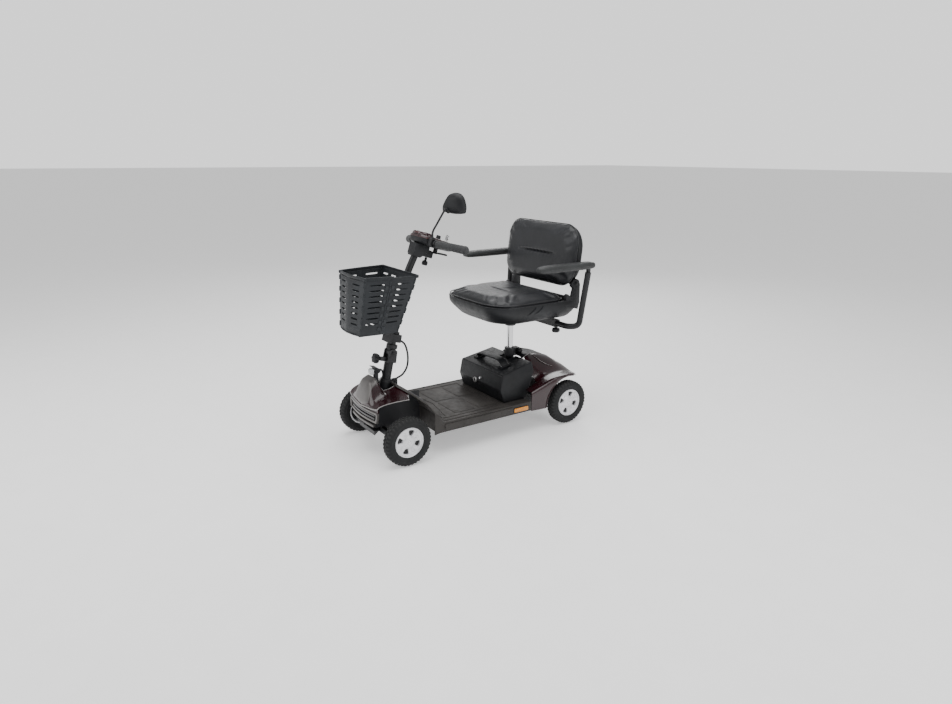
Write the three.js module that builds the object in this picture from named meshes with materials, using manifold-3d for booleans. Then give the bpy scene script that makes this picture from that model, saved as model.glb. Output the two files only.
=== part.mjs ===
// A four-wheeled travel mobility scooter: front and rear frames, body panels, raked steering with
// a folding tiller, a lift-out battery box and a swivel seat with a fold-down back and flip-up arms.
// Millimetres. +Z is up, -Y is the front, +X is the rider's left.
import * as THREE from "three";
import { mergeVertices } from "three/addons/utils/BufferGeometryUtils.js";
import Module from "manifold-3d";

const wasm = await Module();
wasm.setup();

// ---------------------------------------------------------------- driving dimensions

const gap = 0.4; // clearance between pieces that touch or run on each other

const wheelRadius = 100;
const wheelbase = 824;
const wheelCentreX = 212;
const tyreHalfWidth = 24.5;
const rimRadius = 62;
const axleRadius = 8;
const frontAxleY = -wheelbase / 2;
const rearAxleY = wheelbase / 2;

const rake = THREE.MathUtils.degToRad(12.7); // lean of the steering axis
const trail = 24; // how far the steering axis runs ahead of the front axle
const kingpinX = 165;
const steeringArm = 45; // column arm and knuckle arms are the same length, so the tie rod stays parallel
const foldHeight = 314; // along the steering axis, from axle height to the fold pivot
const tillerLean = THREE.MathUtils.degToRad(15);
const headLean = THREE.MathUtils.degToRad(18);
const headOrigin = [0, -225, 830];
const mirrorPivot = [115, 4, 155]; // in the head's own leaning frame
const tubeTop = [0, -7, -36]; // where the tiller tube ends inside the head, in the head's frame
const barPath = [[-226, 76, 25], [-78, 12, 22], [78, 12, 22], [226, 76, 25]]; // handlebar, in the head's frame
const barRadius = 12;
const tillerTubeRadius = 14.5;
const mirrorYaw = THREE.MathUtils.degToRad(20);
const consoleSplit = 35; // where the console's cover meets its housing, in the head's frame
const consoleTop = 45;
const hornPlace = [-28, 88]; // on the console's cover, in the head's frame
const hornRadius = 7;
const hornSunk = 2.6; // how far the button reaches into its pocket
const hornTravel = 2;

const deckHalfWidth = 215;
const deckTop = 140;
const matHeight = 1.5; // the foot mat stands a little proud of the pan
const deckRearY = 205;
const skirtBottom = 100;
const sheet = 5; // moulded panel thickness

const frameTop = 108;
const frameBottom = 84;
const frameSplitY = 150; // where the rear section hooks on to the front section

const postY = 243;
const postRadius = 14;
const socketTop = 300;
const collarTop = 334;

const backrestPivot = [0, 430, 645];
const backrestLean = THREE.MathUtils.degToRad(6.6);
const armrestX = 275;
const armHinge = [armrestX, 449, 733];
const armKnobX = 152;
const armTubeRadius = 11;
const armTubeY = 385;
const armTubeZ = 460;

const basketTop = 738;
const basketBottom = 515;
const basketWall = 4;

const frontReach = -554; // foremost point, the bowed front of the basket
const rearReach = rearAxleY + wheelRadius;

// ---------------------------------------------------------------- solids

// A closed geometry as a manifold solid, turned to face out.
function solid(geometry) {
  const loose = geometry.index ? geometry.toNonIndexed() : geometry;
  const bare = new THREE.BufferGeometry().setAttribute("position", loose.getAttribute("position"));
  const merged = mergeVertices(bare, 1e-3);
  const corners = [];
  const index = merged.index.array;
  for (let i = 0; i < index.length; i += 3) {
    const [a, b, c] = index.slice(i, i + 3);
    if (a !== b && b !== c && a !== c) corners.push(a, b, c);
  }
  const build = (triangles) =>
    new wasm.Manifold(
      new wasm.Mesh({
        numProp: 3,
        vertProperties: merged.attributes.position.array,
        triVerts: new Uint32Array(triangles),
      }),
    );
  const body = build(corners);
  return body.volume() > 0 ? body : build(corners.reverse());
}

function union(first, ...others) {
  return others.reduce((whole, piece) => whole.add(piece), first);
}

function cut(first, ...tools) {
  return tools.reduce((rest, tool) => rest.subtract(tool), first);
}

function geometryOf(body) {
  const mesh = body.getMesh();
  const stride = mesh.numProp;
  const points = new Float32Array(mesh.numVert * 3);
  for (let i = 0; i < mesh.numVert; i++) {
    points.set(mesh.vertProperties.subarray(i * stride, i * stride + 3), i * 3);
  }
  const geometry = new THREE.BufferGeometry().setAttribute("position", new THREE.BufferAttribute(points, 3));
  geometry.setIndex(new THREE.BufferAttribute(mesh.triVerts, 1));
  geometry.computeVertexNormals();
  return geometry;
}

// A box between two corners, optionally in a frame of its own.
function block(low, high, frame) {
  const size = high.map((v, i) => v - low[i]);
  const centre = high.map((v, i) => (v + low[i]) / 2);
  const geometry = new THREE.BoxGeometry(...size).translate(...centre);
  if (frame) geometry.applyMatrix4(frame);
  return solid(geometry);
}

// A round bar from one point to another.
function rod(radius, from, to, sides = 16, endRadius = radius) {
  const start = new THREE.Vector3(...from);
  const end = new THREE.Vector3(...to);
  const along = end.clone().sub(start);
  const geometry = new THREE.CylinderGeometry(endRadius, radius, along.length(), sides);
  const turn = new THREE.Quaternion().setFromUnitVectors(new THREE.Vector3(0, 1, 0), along.clone().normalize());
  geometry.applyQuaternion(turn);
  geometry.translate(...start.add(end).multiplyScalar(0.5));
  return solid(geometry);
}

function ball(radius, centre) {
  return solid(new THREE.SphereGeometry(radius, 12, 8).translate(...centre));
}

const basis = {
  x: new THREE.Matrix4().makeBasis(
    new THREE.Vector3(0, 1, 0), new THREE.Vector3(0, 0, 1), new THREE.Vector3(1, 0, 0)),
  y: new THREE.Matrix4().makeBasis(
    new THREE.Vector3(1, 0, 0), new THREE.Vector3(0, 0, 1), new THREE.Vector3(0, -1, 0)),
  z: new THREE.Matrix4(),
};

// An outline extruded along an axis: outlines are (y, z) for x, (x, z) for y and (x, y) for z.
function prism(axis, outline, low, high) {
  const shape = new THREE.Shape(outline.map((p) => new THREE.Vector2(...p)));
  const geometry = new THREE.ExtrudeGeometry(shape, { depth: high - low, bevelEnabled: false });
  geometry.translate(0, 0, axis === "y" ? -high : low);
  geometry.applyMatrix4(basis[axis]);
  return solid(geometry);
}

// A profile of (radius, height) points turned round the X or Z axis.
function turned(axis, profile, centre, sides) {
  const geometry = new THREE.LatheGeometry(profile.map((p) => new THREE.Vector2(...p)), sides);
  if (axis === "x") geometry.rotateZ(-Math.PI / 2);
  else geometry.rotateX(Math.PI / 2);
  geometry.translate(...centre);
  return solid(geometry);
}

// A skin through rings of points, capped at both ends.
function loft(rings) {
  const count = rings[0].length;
  const points = rings.flat(2);
  const index = [];
  for (let r = 0; r + 1 < rings.length; r++) {
    for (let i = 0; i < count; i++) {
      const a = r * count + i;
      const b = r * count + ((i + 1) % count);
      index.push(a, b, b + count, a, b + count, a + count);
    }
  }
  const last = (rings.length - 1) * count;
  for (let i = 1; i + 1 < count; i++) {
    index.push(0, i + 1, i);
    index.push(last, last + i, last + i + 1);
  }
  const geometry = new THREE.BufferGeometry();
  geometry.setAttribute("position", new THREE.Float32BufferAttribute(points, 3));
  geometry.setIndex(index);
  return solid(geometry);
}

// A round tube of the given radius through the points, its corners bent to a radius.
function bentTube(points, radius, bend, sides = 12, stepsPerBend = 4) {
  const corners = points.map((p) => new THREE.Vector3(...p));
  const stations = [corners[0]];
  for (let i = 1; i + 1 < corners.length; i++) {
    const toPrevious = corners[i - 1].clone().sub(corners[i]).normalize();
    const toNext = corners[i + 1].clone().sub(corners[i]).normalize();
    const enter = corners[i].clone().addScaledVector(toPrevious, bend);
    const leave = corners[i].clone().addScaledVector(toNext, bend);
    const curve = new THREE.QuadraticBezierCurve3(enter, corners[i], leave);
    stations.push(...curve.getPoints(stepsPerBend));
  }
  stations.push(corners[corners.length - 1]);
  let side = new THREE.Vector3(1, 0, 0);
  const first = stations[1].clone().sub(stations[0]).normalize();
  if (Math.abs(first.dot(side)) > 0.9) side = new THREE.Vector3(0, 1, 0);
  const rings = stations.map((centre, i) => {
    const ahead = stations[Math.min(i + 1, stations.length - 1)];
    const behind = stations[Math.max(i - 1, 0)];
    const along = ahead.clone().sub(behind).normalize();
    side = side.clone().addScaledVector(along, -side.dot(along)).normalize();
    const across = along.clone().cross(side);
    return ringPoints(sides).map(([c, s]) =>
      centre.clone().addScaledVector(side, c * radius).addScaledVector(across, s * radius).toArray());
  });
  return loft(rings);
}

function ringPoints(count) {
  const points = [];
  for (let i = 0; i < count; i++) {
    const angle = (2 * Math.PI * i) / count;
    points.push([Math.cos(angle), Math.sin(angle)]);
  }
  return points;
}

// A rectangle with rounded corners, as (u, v) points round its centre.
function roundedRectangle(halfU, halfV, radius, arcSteps = 3) {
  const points = [];
  [[1, 1], [-1, 1], [-1, -1], [1, -1]].forEach(([su, sv], quarter) => {
    for (let i = 0; i <= arcSteps; i++) {
      const angle = ((quarter + i / arcSteps) * Math.PI) / 2;
      points.push([
        su * (halfU - radius) + radius * Math.cos(angle),
        sv * (halfV - radius) + radius * Math.sin(angle),
      ]);
    }
  });
  return points;
}

// The solid under a surface of height(x, y), over a plan that maps u in -1..1 and v in 0..1 to x, y.
function underSurface(plan, height, bottom, columns, rows) {
  const points = [];
  const across = columns + 1;
  const layer = across * (rows + 1);
  for (const top of [true, false]) {
    for (let row = 0; row <= rows; row++) {
      for (let column = 0; column <= columns; column++) {
        const [x, y] = plan((2 * column) / columns - 1, row / rows);
        points.push(x, y, top ? height(x, y) : bottom);
      }
    }
  }
  const index = [];
  const quad = (a, b, c, d) => index.push(a, b, c, a, c, d);
  for (let row = 0; row < rows; row++) {
    for (let column = 0; column < columns; column++) {
      const a = row * across + column;
      quad(a, a + 1, a + across + 1, a + across);
      quad(layer + a, layer + a + across, layer + a + across + 1, layer + a + 1);
    }
  }
  for (let column = 0; column < columns; column++) {
    const rear = rows * across + column;
    quad(column + 1, column, layer + column, layer + column + 1);
    quad(rear, rear + 1, layer + rear + 1, layer + rear);
  }
  for (let row = 0; row < rows; row++) {
    const left = row * across;
    const right = left + columns;
    quad(left, left + across, layer + left + across, layer + left);
    quad(right + across, right, layer + right, layer + right + across);
  }
  const geometry = new THREE.BufferGeometry();
  geometry.setAttribute("position", new THREE.Float32BufferAttribute(points, 3));
  geometry.setIndex(index);
  return solid(geometry);
}

function smooth(low, high, value) {
  return THREE.MathUtils.smoothstep(value, low, high);
}

// Straight-line interpolation through (position, value) pairs.
function along(pairs, position) {
  const clamped = Math.min(Math.max(position, pairs[0][0]), pairs[pairs.length - 1][0]);
  const next = Math.max(1, pairs.findIndex(([p]) => p >= clamped));
  const [p0, v0] = pairs[next - 1];
  const [p1, v1] = pairs[next];
  return v0 + ((v1 - v0) * (clamped - p0)) / (p1 - p0);
}

// ---------------------------------------------------------------- materials and placing

function material(color, roughness, metalness = 0) {
  return new THREE.MeshStandardMaterial({ color, roughness, metalness });
}

const finishes = {
  frame: () => material(0x15161a, 0.45, 0.3),
  panel: () => material(0x2a2b2c, 0.6),
  maroon: () => material(0x3a0d16, 0.15, 0.2),
  silver: () => material(0x8f8a88, 0.35, 0.6),
  chrome: () => material(0xd8d8da, 0.08, 1),
  tyre: () => material(0x3a3a3a, 0.85),
  rim: () => material(0xdcdde0, 0.35, 0.2),
  plastic: () => material(0x1c1e20, 0.5),
  basket: () => material(0x2b2f33, 0.5),
  grip: () => material(0x55575a, 0.75),
  vinyl: () => material(0x26282c, 0.4),
  amber: () => material(0xe07a10, 0.2),
  lens: () => material(0xe8ecef, 0.05),
  rubber: () => material(0x101113, 0.8),
};

const scooter = new THREE.Group();
scooter.position.y = -(frontReach + rearReach) / 2;

function group(parent, position, tilt = 0, mirrored = false) {
  const made = new THREE.Group();
  made.position.set(...position);
  made.rotation.x = -tilt;
  if (mirrored) made.scale.x = -1;
  parent.add(made);
  return made;
}

function piece(parent, name, body, finish) {
  const mesh = new THREE.Mesh(geometryOf(body), finishes[finish]());
  mesh.name = name;
  parent.add(mesh);
}

// A matrix for building in the raked steering frame, whose Z is the steering axis.
const steeringFrame = new THREE.Matrix4()
  .makeTranslation(0, frontAxleY - trail, wheelRadius)
  .multiply(new THREE.Matrix4().makeRotationX(-rake));

function onColumn(x, y, z) {
  return new THREE.Vector3(x, y, z).applyMatrix4(steeringFrame).toArray();
}

const foldPivot = onColumn(0, 0, foldHeight);

function leaningFrame(origin, lean) {
  return new THREE.Matrix4().makeTranslation(...origin).multiply(new THREE.Matrix4().makeRotationX(-lean));
}

// A point given in one frame, as seen in another.
function between(from, to, point) {
  return new THREE.Vector3(...point).applyMatrix4(from).applyMatrix4(to.clone().invert()).toArray();
}

const tillerFrame = leaningFrame(foldPivot, tillerLean);
const headFrame = leaningFrame(headOrigin, headLean);
const tubeBend = [0, 0, 330]; // in the tiller's frame, where the tube leans back towards the rider

// ---------------------------------------------------------------- wheels

function tyre() {
  const bead = rimRadius + gap;
  const profile = [
    [bead, -19], [78, -tyreHalfWidth], [91, -22.5], [wheelRadius, -12],
    [wheelRadius, 12], [91, 22.5], [78, tyreHalfWidth], [bead, 19], [bead, -19],
  ];
  return turned("x", profile, [0, 0, 0], 30);
}

function rim() {
  const bore = axleRadius + gap;
  const profile = [
    [bore, -16], [20, -16], [20, 6], [55, 6], [55, -18], [rimRadius, -18],
    [rimRadius, 18], [55, 18], [52, 14], [22, 15], [22, 18], [0, 18], [0, 12], [bore, 12], [bore, -16],
  ];
  const openings = [0, 1, 2, 3].map((i) => {
    const middle = ((i + 0.5) * Math.PI) / 2;
    const corner = (radius, half) => [radius * Math.cos(middle + half), radius * Math.sin(middle + half)];
    return prism("x", [corner(30, -0.2), corner(48, -0.27), corner(48, 0.27), corner(30, 0.2)], 0, 30);
  });
  return cut(turned("x", profile, [0, 0, 0], 20), ...openings);
}

function addWheel(parent, name, position, mirrored) {
  const hub = group(parent, position, 0, mirrored);
  piece(hub, `${name}_tyre`, tyre(), "tyre");
  piece(hub, `${name}_rim`, rim(), "rim");
}

// ---------------------------------------------------------------- frames and running gear

function frontFrame() {
  const yokes = [1, -1].map((side) => {
    const x = (a, b) => [Math.min(side * a, side * b), Math.max(side * a, side * b)];
    const ear = (low, high) => {
      const [x0, x1] = x(138, 178);
      return block([x0, -12, low], [x1, 12, high], steeringFrame);
    };
    const [w0, w1] = x(138, 147);
    const web = block([w0, -9, -30], [w1, 9, 52], steeringFrame);
    const pin = rod(6, onColumn(side * kingpinX, 0, -28), onColumn(side * kingpinX, 0, 50));
    return union(ear(-30, -22 - gap), ear(44 + gap, 52), web, pin);
  });
  const beam = block([-140, -12, -12], [140, 12, 8], steeringFrame);
  const headTube = rod(22, onColumn(0, 0, 46), onColumn(0, 0, 188), 24);
  const headBore = rod(15 + gap, onColumn(0, 0, 40), onColumn(0, 0, 200), 24);
  const gusset = prism("x", [[-398, 178], [-377, 262], [-290, 134], [-290, 104]], -5, 5);
  const spine = block([-18, -440, frameBottom], [18, frameSplitY, frameTop]);
  const nose = prism("z", [[-18, -432], [-70, -486], [70, -486], [18, -432]], 90, frameTop);
  const crossbars = [-225, -30, 130].map((y) =>
    block([-198, y - 10, frameTop - 1], [198, y + 10, deckTop - sheet - gap]));
  const rails = [-198, 184].map((x) => block([x, -235, frameTop + 4], [x + 14, 198, deckTop - sheet - gap]));
  const whole = union(beam, ...yokes, headTube, gusset, spine, nose, ...crossbars, ...rails);
  return cut(whole, headBore);
}

function knuckle() {
  const stubY = trail * Math.cos(rake);
  const stubZ = trail * Math.sin(rake);
  const barrel = cut(
    rod(11, [0, 0, -22], [0, 0, 44]),
    rod(6 + gap, [0, 0, -30], [0, 0, 50]),
  );
  const carrier = block([8.5, -9, -10], [19, stubY + 10, 16]);
  const reach = wheelCentreX - kingpinX;
  const stub = rod(axleRadius, [12, stubY, stubZ], [reach + 11, stubY, stubZ]);
  const shoulder = rod(13, [12, stubY, stubZ], [reach - 16 - gap, stubY, stubZ]);
  const arm = cut(
    block([-6, 9, 32], [6, steeringArm + 8, 40]),
    rod(4 + gap, [0, steeringArm, 30], [0, steeringArm, 42], 12),
  );
  return union(barrel, carrier, stub, shoulder, arm);
}

function steeringColumn() {
  const clevisBottom = foldHeight - 34;
  const shaft = rod(15, [0, 0, 28], [0, 0, clevisBottom], 20);
  const arm = cut(
    block([-7, 0, 32], [7, steeringArm + 8, 40]),
    rod(4 + gap, [0, steeringArm, 30], [0, steeringArm, 42], 12),
  );
  const collar = rod(24, [0, 0, 190], [0, 0, 202], 20);
  const sleeve = rod(19, [0, 0, 202], [0, 0, clevisBottom + 4], 20);
  const base = block([-24, -20, clevisBottom - 6], [24, 20, clevisBottom + 6]);
  const ear = (x0, x1) =>
    prism("x", [[-20, clevisBottom], [20, clevisBottom], [18, foldHeight + 8], [8, foldHeight + 16],
      [-8, foldHeight + 16], [-18, foldHeight + 8]], x0, x1);
  const pin = rod(5, [-24, 0, foldHeight], [24, 0, foldHeight], 12);
  const lockMount = block([-9, -44, clevisBottom - 4], [9, -16, clevisBottom + 12]);
  return union(shaft, arm, collar, sleeve, base, ear(-24, -16), ear(16, 24), pin, lockMount);
}

function tieRod() {
  const rodAt = 28;
  const bar = rod(6, [-kingpinX, steeringArm, rodAt - 3], [kingpinX, steeringArm, rodAt - 3], 12);
  const studs = [-kingpinX, 0, kingpinX].map((x) =>
    rod(4, [x, steeringArm, rodAt - 6], [x, steeringArm, 41], 12));
  return union(bar, ...studs);
}

function rearFrame() {
  const spine = block([-18, frameSplitY + gap, frameBottom], [18, 356, frameTop]);
  const crossbar = block([-170, 290, frameBottom], [170, 314, frameTop]);
  const socket = rod(19, [0, postY, frameTop - 10], [0, postY, socketTop + 4], 24);
  const collar = rod(25, [0, postY, socketTop], [0, postY, collarTop], 24);
  const ears = block([-15, postY + 20, socketTop + 8], [15, postY + 46, collarTop - 4]);
  const slot = block([-1.5, postY, socketTop - 1], [1.5, postY + 50, collarTop + 1]);
  const bore = rod(postRadius + gap, [0, postY, frameTop + 20], [0, postY, collarTop + 1], 24);
  const motorPlate = block([-60, 336, frameBottom], [60, 358, frameTop + 6]);
  return cut(union(spine, crossbar, socket, collar, ears, motorPlate), slot, bore);
}

function transaxle() {
  const tube = rod(17, [-172, rearAxleY, wheelRadius], [172, rearAxleY, wheelRadius], 20);
  const shaftEnd = wheelCentreX + 11;
  const shaft = rod(axleRadius, [-shaftEnd, rearAxleY, wheelRadius], [shaftEnd, rearAxleY, wheelRadius]);
  const shoulderEnd = wheelCentreX - 16 - gap;
  const shoulder = rod(13, [-shoulderEnd, rearAxleY, wheelRadius], [shoulderEnd, rearAxleY, wheelRadius]);
  const gearbox = prism("x", [[362, 70], [450, 66], [462, 100], [446, 138], [400, 148], [362, 136]], -26, 44);
  const motor = rod(36, [-150, 404, 112], [-20, 404, 112], 24);
  return union(tube, shaft, shoulder, gearbox, motor);
}

function freewheelLever() {
  const hub = rod(8, [46, 430, 126], [58, 430, 126], 12);
  const arm = prism("x", [[426, 126], [434, 126], [452, 172], [460, 196], [450, 198], [440, 176]], 48, 56);
  return union(hub, arm);
}

// ---------------------------------------------------------------- body panels

// The deck's front end climbs in a curve to the steering column.
const rampLine = [[-245, 140], [-283, 190], [-306, 228], [-341, 259], [-380, 285]];

function floorPan() {
  const plate = block([-deckHalfWidth, -262, deckTop - sheet], [deckHalfWidth, deckRearY, deckTop]);
  const mat = block([-196, -236, deckTop - 1], [196, 68, deckTop + matHeight]);
  const side = [[-287, skirtBottom - 4], [-285, 192], [-258, 160], [-244, deckTop - 2], [deckRearY, deckTop - 2],
    [deckRearY, skirtBottom], [-262, skirtBottom]];
  const skirts = [-deckHalfWidth, deckHalfWidth - sheet].map((x) => prism("x", side, x, x + sheet));
  const under = rampLine.map(([y, z]) => [y - 1, z - sheet - 1]).reverse();
  const strip = prism("x", [...rampLine, ...under], -deckHalfWidth, deckHalfWidth);
  const right = [[deckHalfWidth, 196], [203, 214], [176, 238], [122, 264], [62, 281], [44, 290]];
  const left = right.map(([x, z]) => [-x, z]).reverse();
  const outline = prism("y", [[-deckHalfWidth, 120], [deckHalfWidth, 120], ...right, ...left], -400, -200);
  const ramp = strip.intersect(outline);
  const wellWall = [-1, 1].map((side) => {
    const x = [side * 26, side * (deckHalfWidth - 1)].sort((a, b) => a - b);
    return block([x[0], -287, 112], [x[1], -282.5, 188]);
  });
  const columnNotch = rod(26, onColumn(0, 0, 100), onColumn(0, 0, 260), 20);
  return cut(union(plate, mat, ...skirts, ramp, ...wellWall), columnNotch);
}

function noseHeight(x, y) {
  const u = Math.abs(x);
  const front = along([[0, 208], [125, 222], [170, 228]], u);
  const rear = along([[0, 281], [45, 280], [120, 260], [170, 250]], u);
  const frontY = along([[0, -511], [60, -507], [125, -497]], u);
  const rise = Math.min(Math.max((y - frontY) / (-370 - frontY), 0), 1);
  const cowl = 74 * Math.exp(-((x / 46) ** 2)) * smooth(-515, -478, y) * (1 - smooth(-458, -425, y));
  return front + (rear - front) * Math.sqrt(rise) + cowl;
}

function shroudBody(inset, lift, bottom) {
  const plan = (u, v) => {
    const x = u * (125 + 36 * v ** 0.8 - inset);
    const frontY = along([[0, -511], [60, -507], [125, -497]], Math.abs(x)) + inset;
    const rearY = along([[0, -386], [45, -386], [90, -366], [120, -357], [165, -374]], Math.abs(x)) - inset;
    return [x, frontY + (rearY - frontY) * v];
  };
  return underSurface(plan, (x, y) => noseHeight(x, y) + lift, bottom, 12, 8);
}

function frontShroud() {
  const well = prism("z", [[-44, -434], [44, -434], [54, -402], [46, -340], [-46, -340], [-54, -402]], 150, 400);
  return cut(shroudBody(0, 0, 205), shroudBody(4, -4, 190), well);
}

// A dished black cover that fills the shroud's well and closes round the head tube.
function columnCover() {
  const ring = (grow, z) =>
    [[-43, -433], [43, -433], [53, -402], [46, -387], [-46, -387], [-53, -402]].map(([x, y]) =>
      [x * grow, -410 + (y + 410) * grow, z]);
  const dish = cut(
    loft([ring(0.55, 228), ring(0.99, 246), ring(0.99, 250)]),
    loft([ring(0.5, 232), ring(0.93, 252), ring(0.93, 256)]),
  );
  return cut(dish, rod(24, onColumn(0, 0, 60), onColumn(0, 0, 240), 20));
}

function frontFascia() {
  const bow = (reach, inset) => [
    [-reach, -497 + inset], [-60, -507 + inset], [0, -511 + inset], [60, -507 + inset], [reach, -497 + inset],
  ];
  const band = (reach, front, thick, low, high) =>
    prism("z", [...bow(reach, front), ...bow(reach - 2, front + thick).reverse()], low, high);
  const grille = band(124, 0, 14, 158, 204.5);
  const brow = band(124, -1, 6, 196, 204.5);
  const bumper = band(96, 6, 12, 136, 150);
  const link = band(90, 8, 8, 148, 160);
  const vent = band(92, -4, 9, 172, 188);
  return cut(union(grille, brow, bumper, link), vent);
}

function headlightHousing() {
  const visor = prism("x", [[-446, 331], [-428, 331], [-420, 342], [-434, 355], [-470, 361], [-470, 356], [-446, 351]],
    -17, 17);
  const neck = block([-9, -445, 290], [9, -430, 336]);
  return cut(union(visor, neck), shroudBody(0, gap, 150));
}

function headlightLens() {
  const face = (y, halfX, low, high) => {
    const middle = (low + high) / 2;
    return roundedRectangle(halfX, (high - low) / 2, 6).map(([u, v]) => [u, y, middle + v]);
  };
  return loft([
    face(-447 + gap - 1, 15, 328, 350), face(-458, 15, 326, 351), face(-464, 12, 328, 349), face(-467, 7, 332, 345),
  ]);
}

const rearRidge = [[207, 250], [262, 306], [320, 305], [360, 298], [420, 278], [451, 258], [486, 238]];
const rearSide = [[207, 184], [260, 204], [324, 226], [400, 232], [451, 227], [486, 216]];

function tailHeight(x, y) {
  const ridge = along(rearRidge, y);
  const side = along(rearSide, y);
  return side + (ridge - side) * (1 - smooth(55, 172, Math.abs(x)));
}

function rearShroud() {
  const planFor = (inset) => (u, v) => {
    const y = 207 + inset + (486 - 207 - 2 * inset) * v;
    const halfWidth = along([[207, 216], [300, 224], [440, 224], [486, 190]], y) - inset;
    return [u * halfWidth, y];
  };
  const outer = underSurface(planFor(0), tailHeight, 96, 12, 8);
  const inner = underSurface(planFor(4), (x, y) => tailHeight(x, y) - 4, 90, 12, 8);
  const batteryPocket = block([-172, 190, 80], [172, 270, 340]);
  const tools = [-1, 1].map((side) => {
    const arch = rod(126, [side * 120, rearAxleY, wheelRadius], [side * 260, rearAxleY, wheelRadius], 32);
    const x = [side * 120, side * 260].sort((a, b) => a - b);
    return union(arch, block([x[0], rearAxleY, 60], [x[1], 520, 206]));
  });
  const tailOpening = block([-190, 440, 80], [190, 500, 214]);
  return cut(outer, inner, batteryPocket, ...tools, tailOpening);
}

function sideReflector() {
  return prism("x", [[113, 109], [182, 109], [185, 112], [185, 124], [182, 127], [113, 127], [110, 124], [110, 112]],
    deckHalfWidth + gap, deckHalfWidth + 5);
}

// ---------------------------------------------------------------- battery

function batteryBox() {
  const profile = [[92, deckTop + gap], [73, 200], [86, 266], [254, 300], [256, 262], [216, deckTop + gap]];
  const body = prism("x", profile, -165, 165);
  const shoulders = [-1, 1].map((side) =>
    prism("y", [[side * 170, 236], [side * 170, 330], [side * 146, 330], [side * 154, 292], [side * 165, 256]], 40, 300));
  const postNotch = block([-32, 206, 130], [32, 300, 340]);
  return cut(body, ...shoulders, postNotch);
}

function batteryHandle() {
  const over = [[-112, 0], [-96, 27], [58, 33], [96, 0]];
  const under = [[88, 0], [55, 27], [-93, 21], [-104, 0]];
  return prism("y", [...over, ...under], -34, 34);
}

// ---------------------------------------------------------------- tiller

function tillerTube() {
  const eye = cut(
    union(rod(14, [-15.5, 0, 0], [15.5, 0, 0], 20), block([-15.5, -14, 0], [15.5, 14, 26])),
    rod(5 + gap, [-20, 0, 0], [20, 0, 0], 12),
  );
  const lowCollar = rod(23, [0, 0, 18], [0, 0, 34], 20);
  const top = between(headFrame, tillerFrame, tubeTop);
  const tube = bentTube([[0, 0, 24], tubeBend, top], tillerTubeRadius, 34, 18, 5);
  return union(eye, lowCollar, tube);
}

function basketBracket() {
  const clamp = cut(block([-26, -24, 46], [26, 22, 78]), rod(tillerTubeRadius + gap, [0, 0, 40], [0, 0, 90], 18));
  const plate = block([-34, -34, 40], [34, -23, 150]);
  const saddle = block([-34, -44, 108], [34, -30, 150]);
  return union(clamp, plate, saddle);
}

// Plan outlines of the basket at its rim and floor, bowed at the front.
function basketRing(level, inset) {
  const mix = (rim, floor) => floor + (rim - floor) * level;
  const z = mix(basketTop, basketBottom);
  const backHalf = mix(145, 102) - inset;
  const frontHalf = mix(114, 92) - inset;
  const backY = mix(-317, -386) - inset;
  const frontY = mix(-520, -540) + inset;
  const bow = 14;
  const right = [[backHalf, backY], [(backHalf + frontHalf) / 2 + 4, (backY + frontY) / 2], [frontHalf, frontY]];
  const points = [...right, [frontHalf / 2, frontY - bow * 0.75], [0, frontY - bow]];
  const mirrored = [...points].reverse().slice(1).map(([x, y]) => [-x, y]);
  return [...points, ...mirrored].map(([x, y]) => [x, y, z]);
}

function basket() {
  const floorLevel = basketWall / (basketTop - basketBottom);
  const shell = cut(
    loft([basketRing(0, 0), basketRing(0.9, 0), basketRing(0.96, -3), basketRing(1, -3)]),
    loft([basketRing(floorLevel, basketWall), basketRing(1.02, basketWall)]),
  );
  const slots = [];
  for (let row = 0; row < 7; row++) {
    const z = 560 + row * 23;
    const level = (z - basketBottom) / (basketTop - basketBottom);
    const [back, middle, front] = basketRing(level, 0);
    for (const [from, to] of [[back, middle], [middle, front]]) {
      const y = (from[1] + to[1]) / 2;
      slots.push(block([-170, y - 17, z], [170, y + 17, z + 7]));
    }
    for (const x of [-50, 50]) slots.push(block([x - 18, -580, z - 4], [x + 18, -500, z + 3]));
  }
  for (const z of [640, 668, 696]) {
    for (const x of [-66, 66]) slots.push(block([x - 20, -420, z], [x + 20, -300, z + 7]));
  }
  return cut(shell, ...slots);
}

function tillerHead() {
  const wedge = prism("x", [[-30, -34], [-25, -44], [4, -46], [36, -16], [36, 8], [-30, 8]], -26, 26);
  const lug = block([-14, 30, -36], [14, 66, -10]);
  const bridge = block([-14, 20, -26], [14, 40, -6]);
  const bend = between(tillerFrame, headFrame, tubeBend);
  const past = new THREE.Vector3(...bend).lerp(new THREE.Vector3(...tubeTop), 1.01).toArray();
  return cut(union(wedge, lug, bridge), rod(tillerTubeRadius + gap, bend, past, 18));
}

// The console's plan, grown or shrunk about its middle.
function consoleRing(z, grow) {
  const middle = 50;
  const right = [[36, -30], [58, -20], [66, 14], [62, 80], [44, 146]];
  const left = right.map(([x, y]) => [-x, y]).reverse();
  return [...right, ...left].map(([x, y]) => [x * grow, middle + (y - middle) * grow, z]);
}

function consoleHousing() {
  const body = loft([consoleRing(8 + gap, 0.78), consoleRing(14, 0.92), consoleRing(consoleSplit, 1)]);
  const barSlot = rod(barRadius + gap, [-90, 12, 22], [90, 12, 22], 16);
  return cut(body, barSlot);
}

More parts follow.
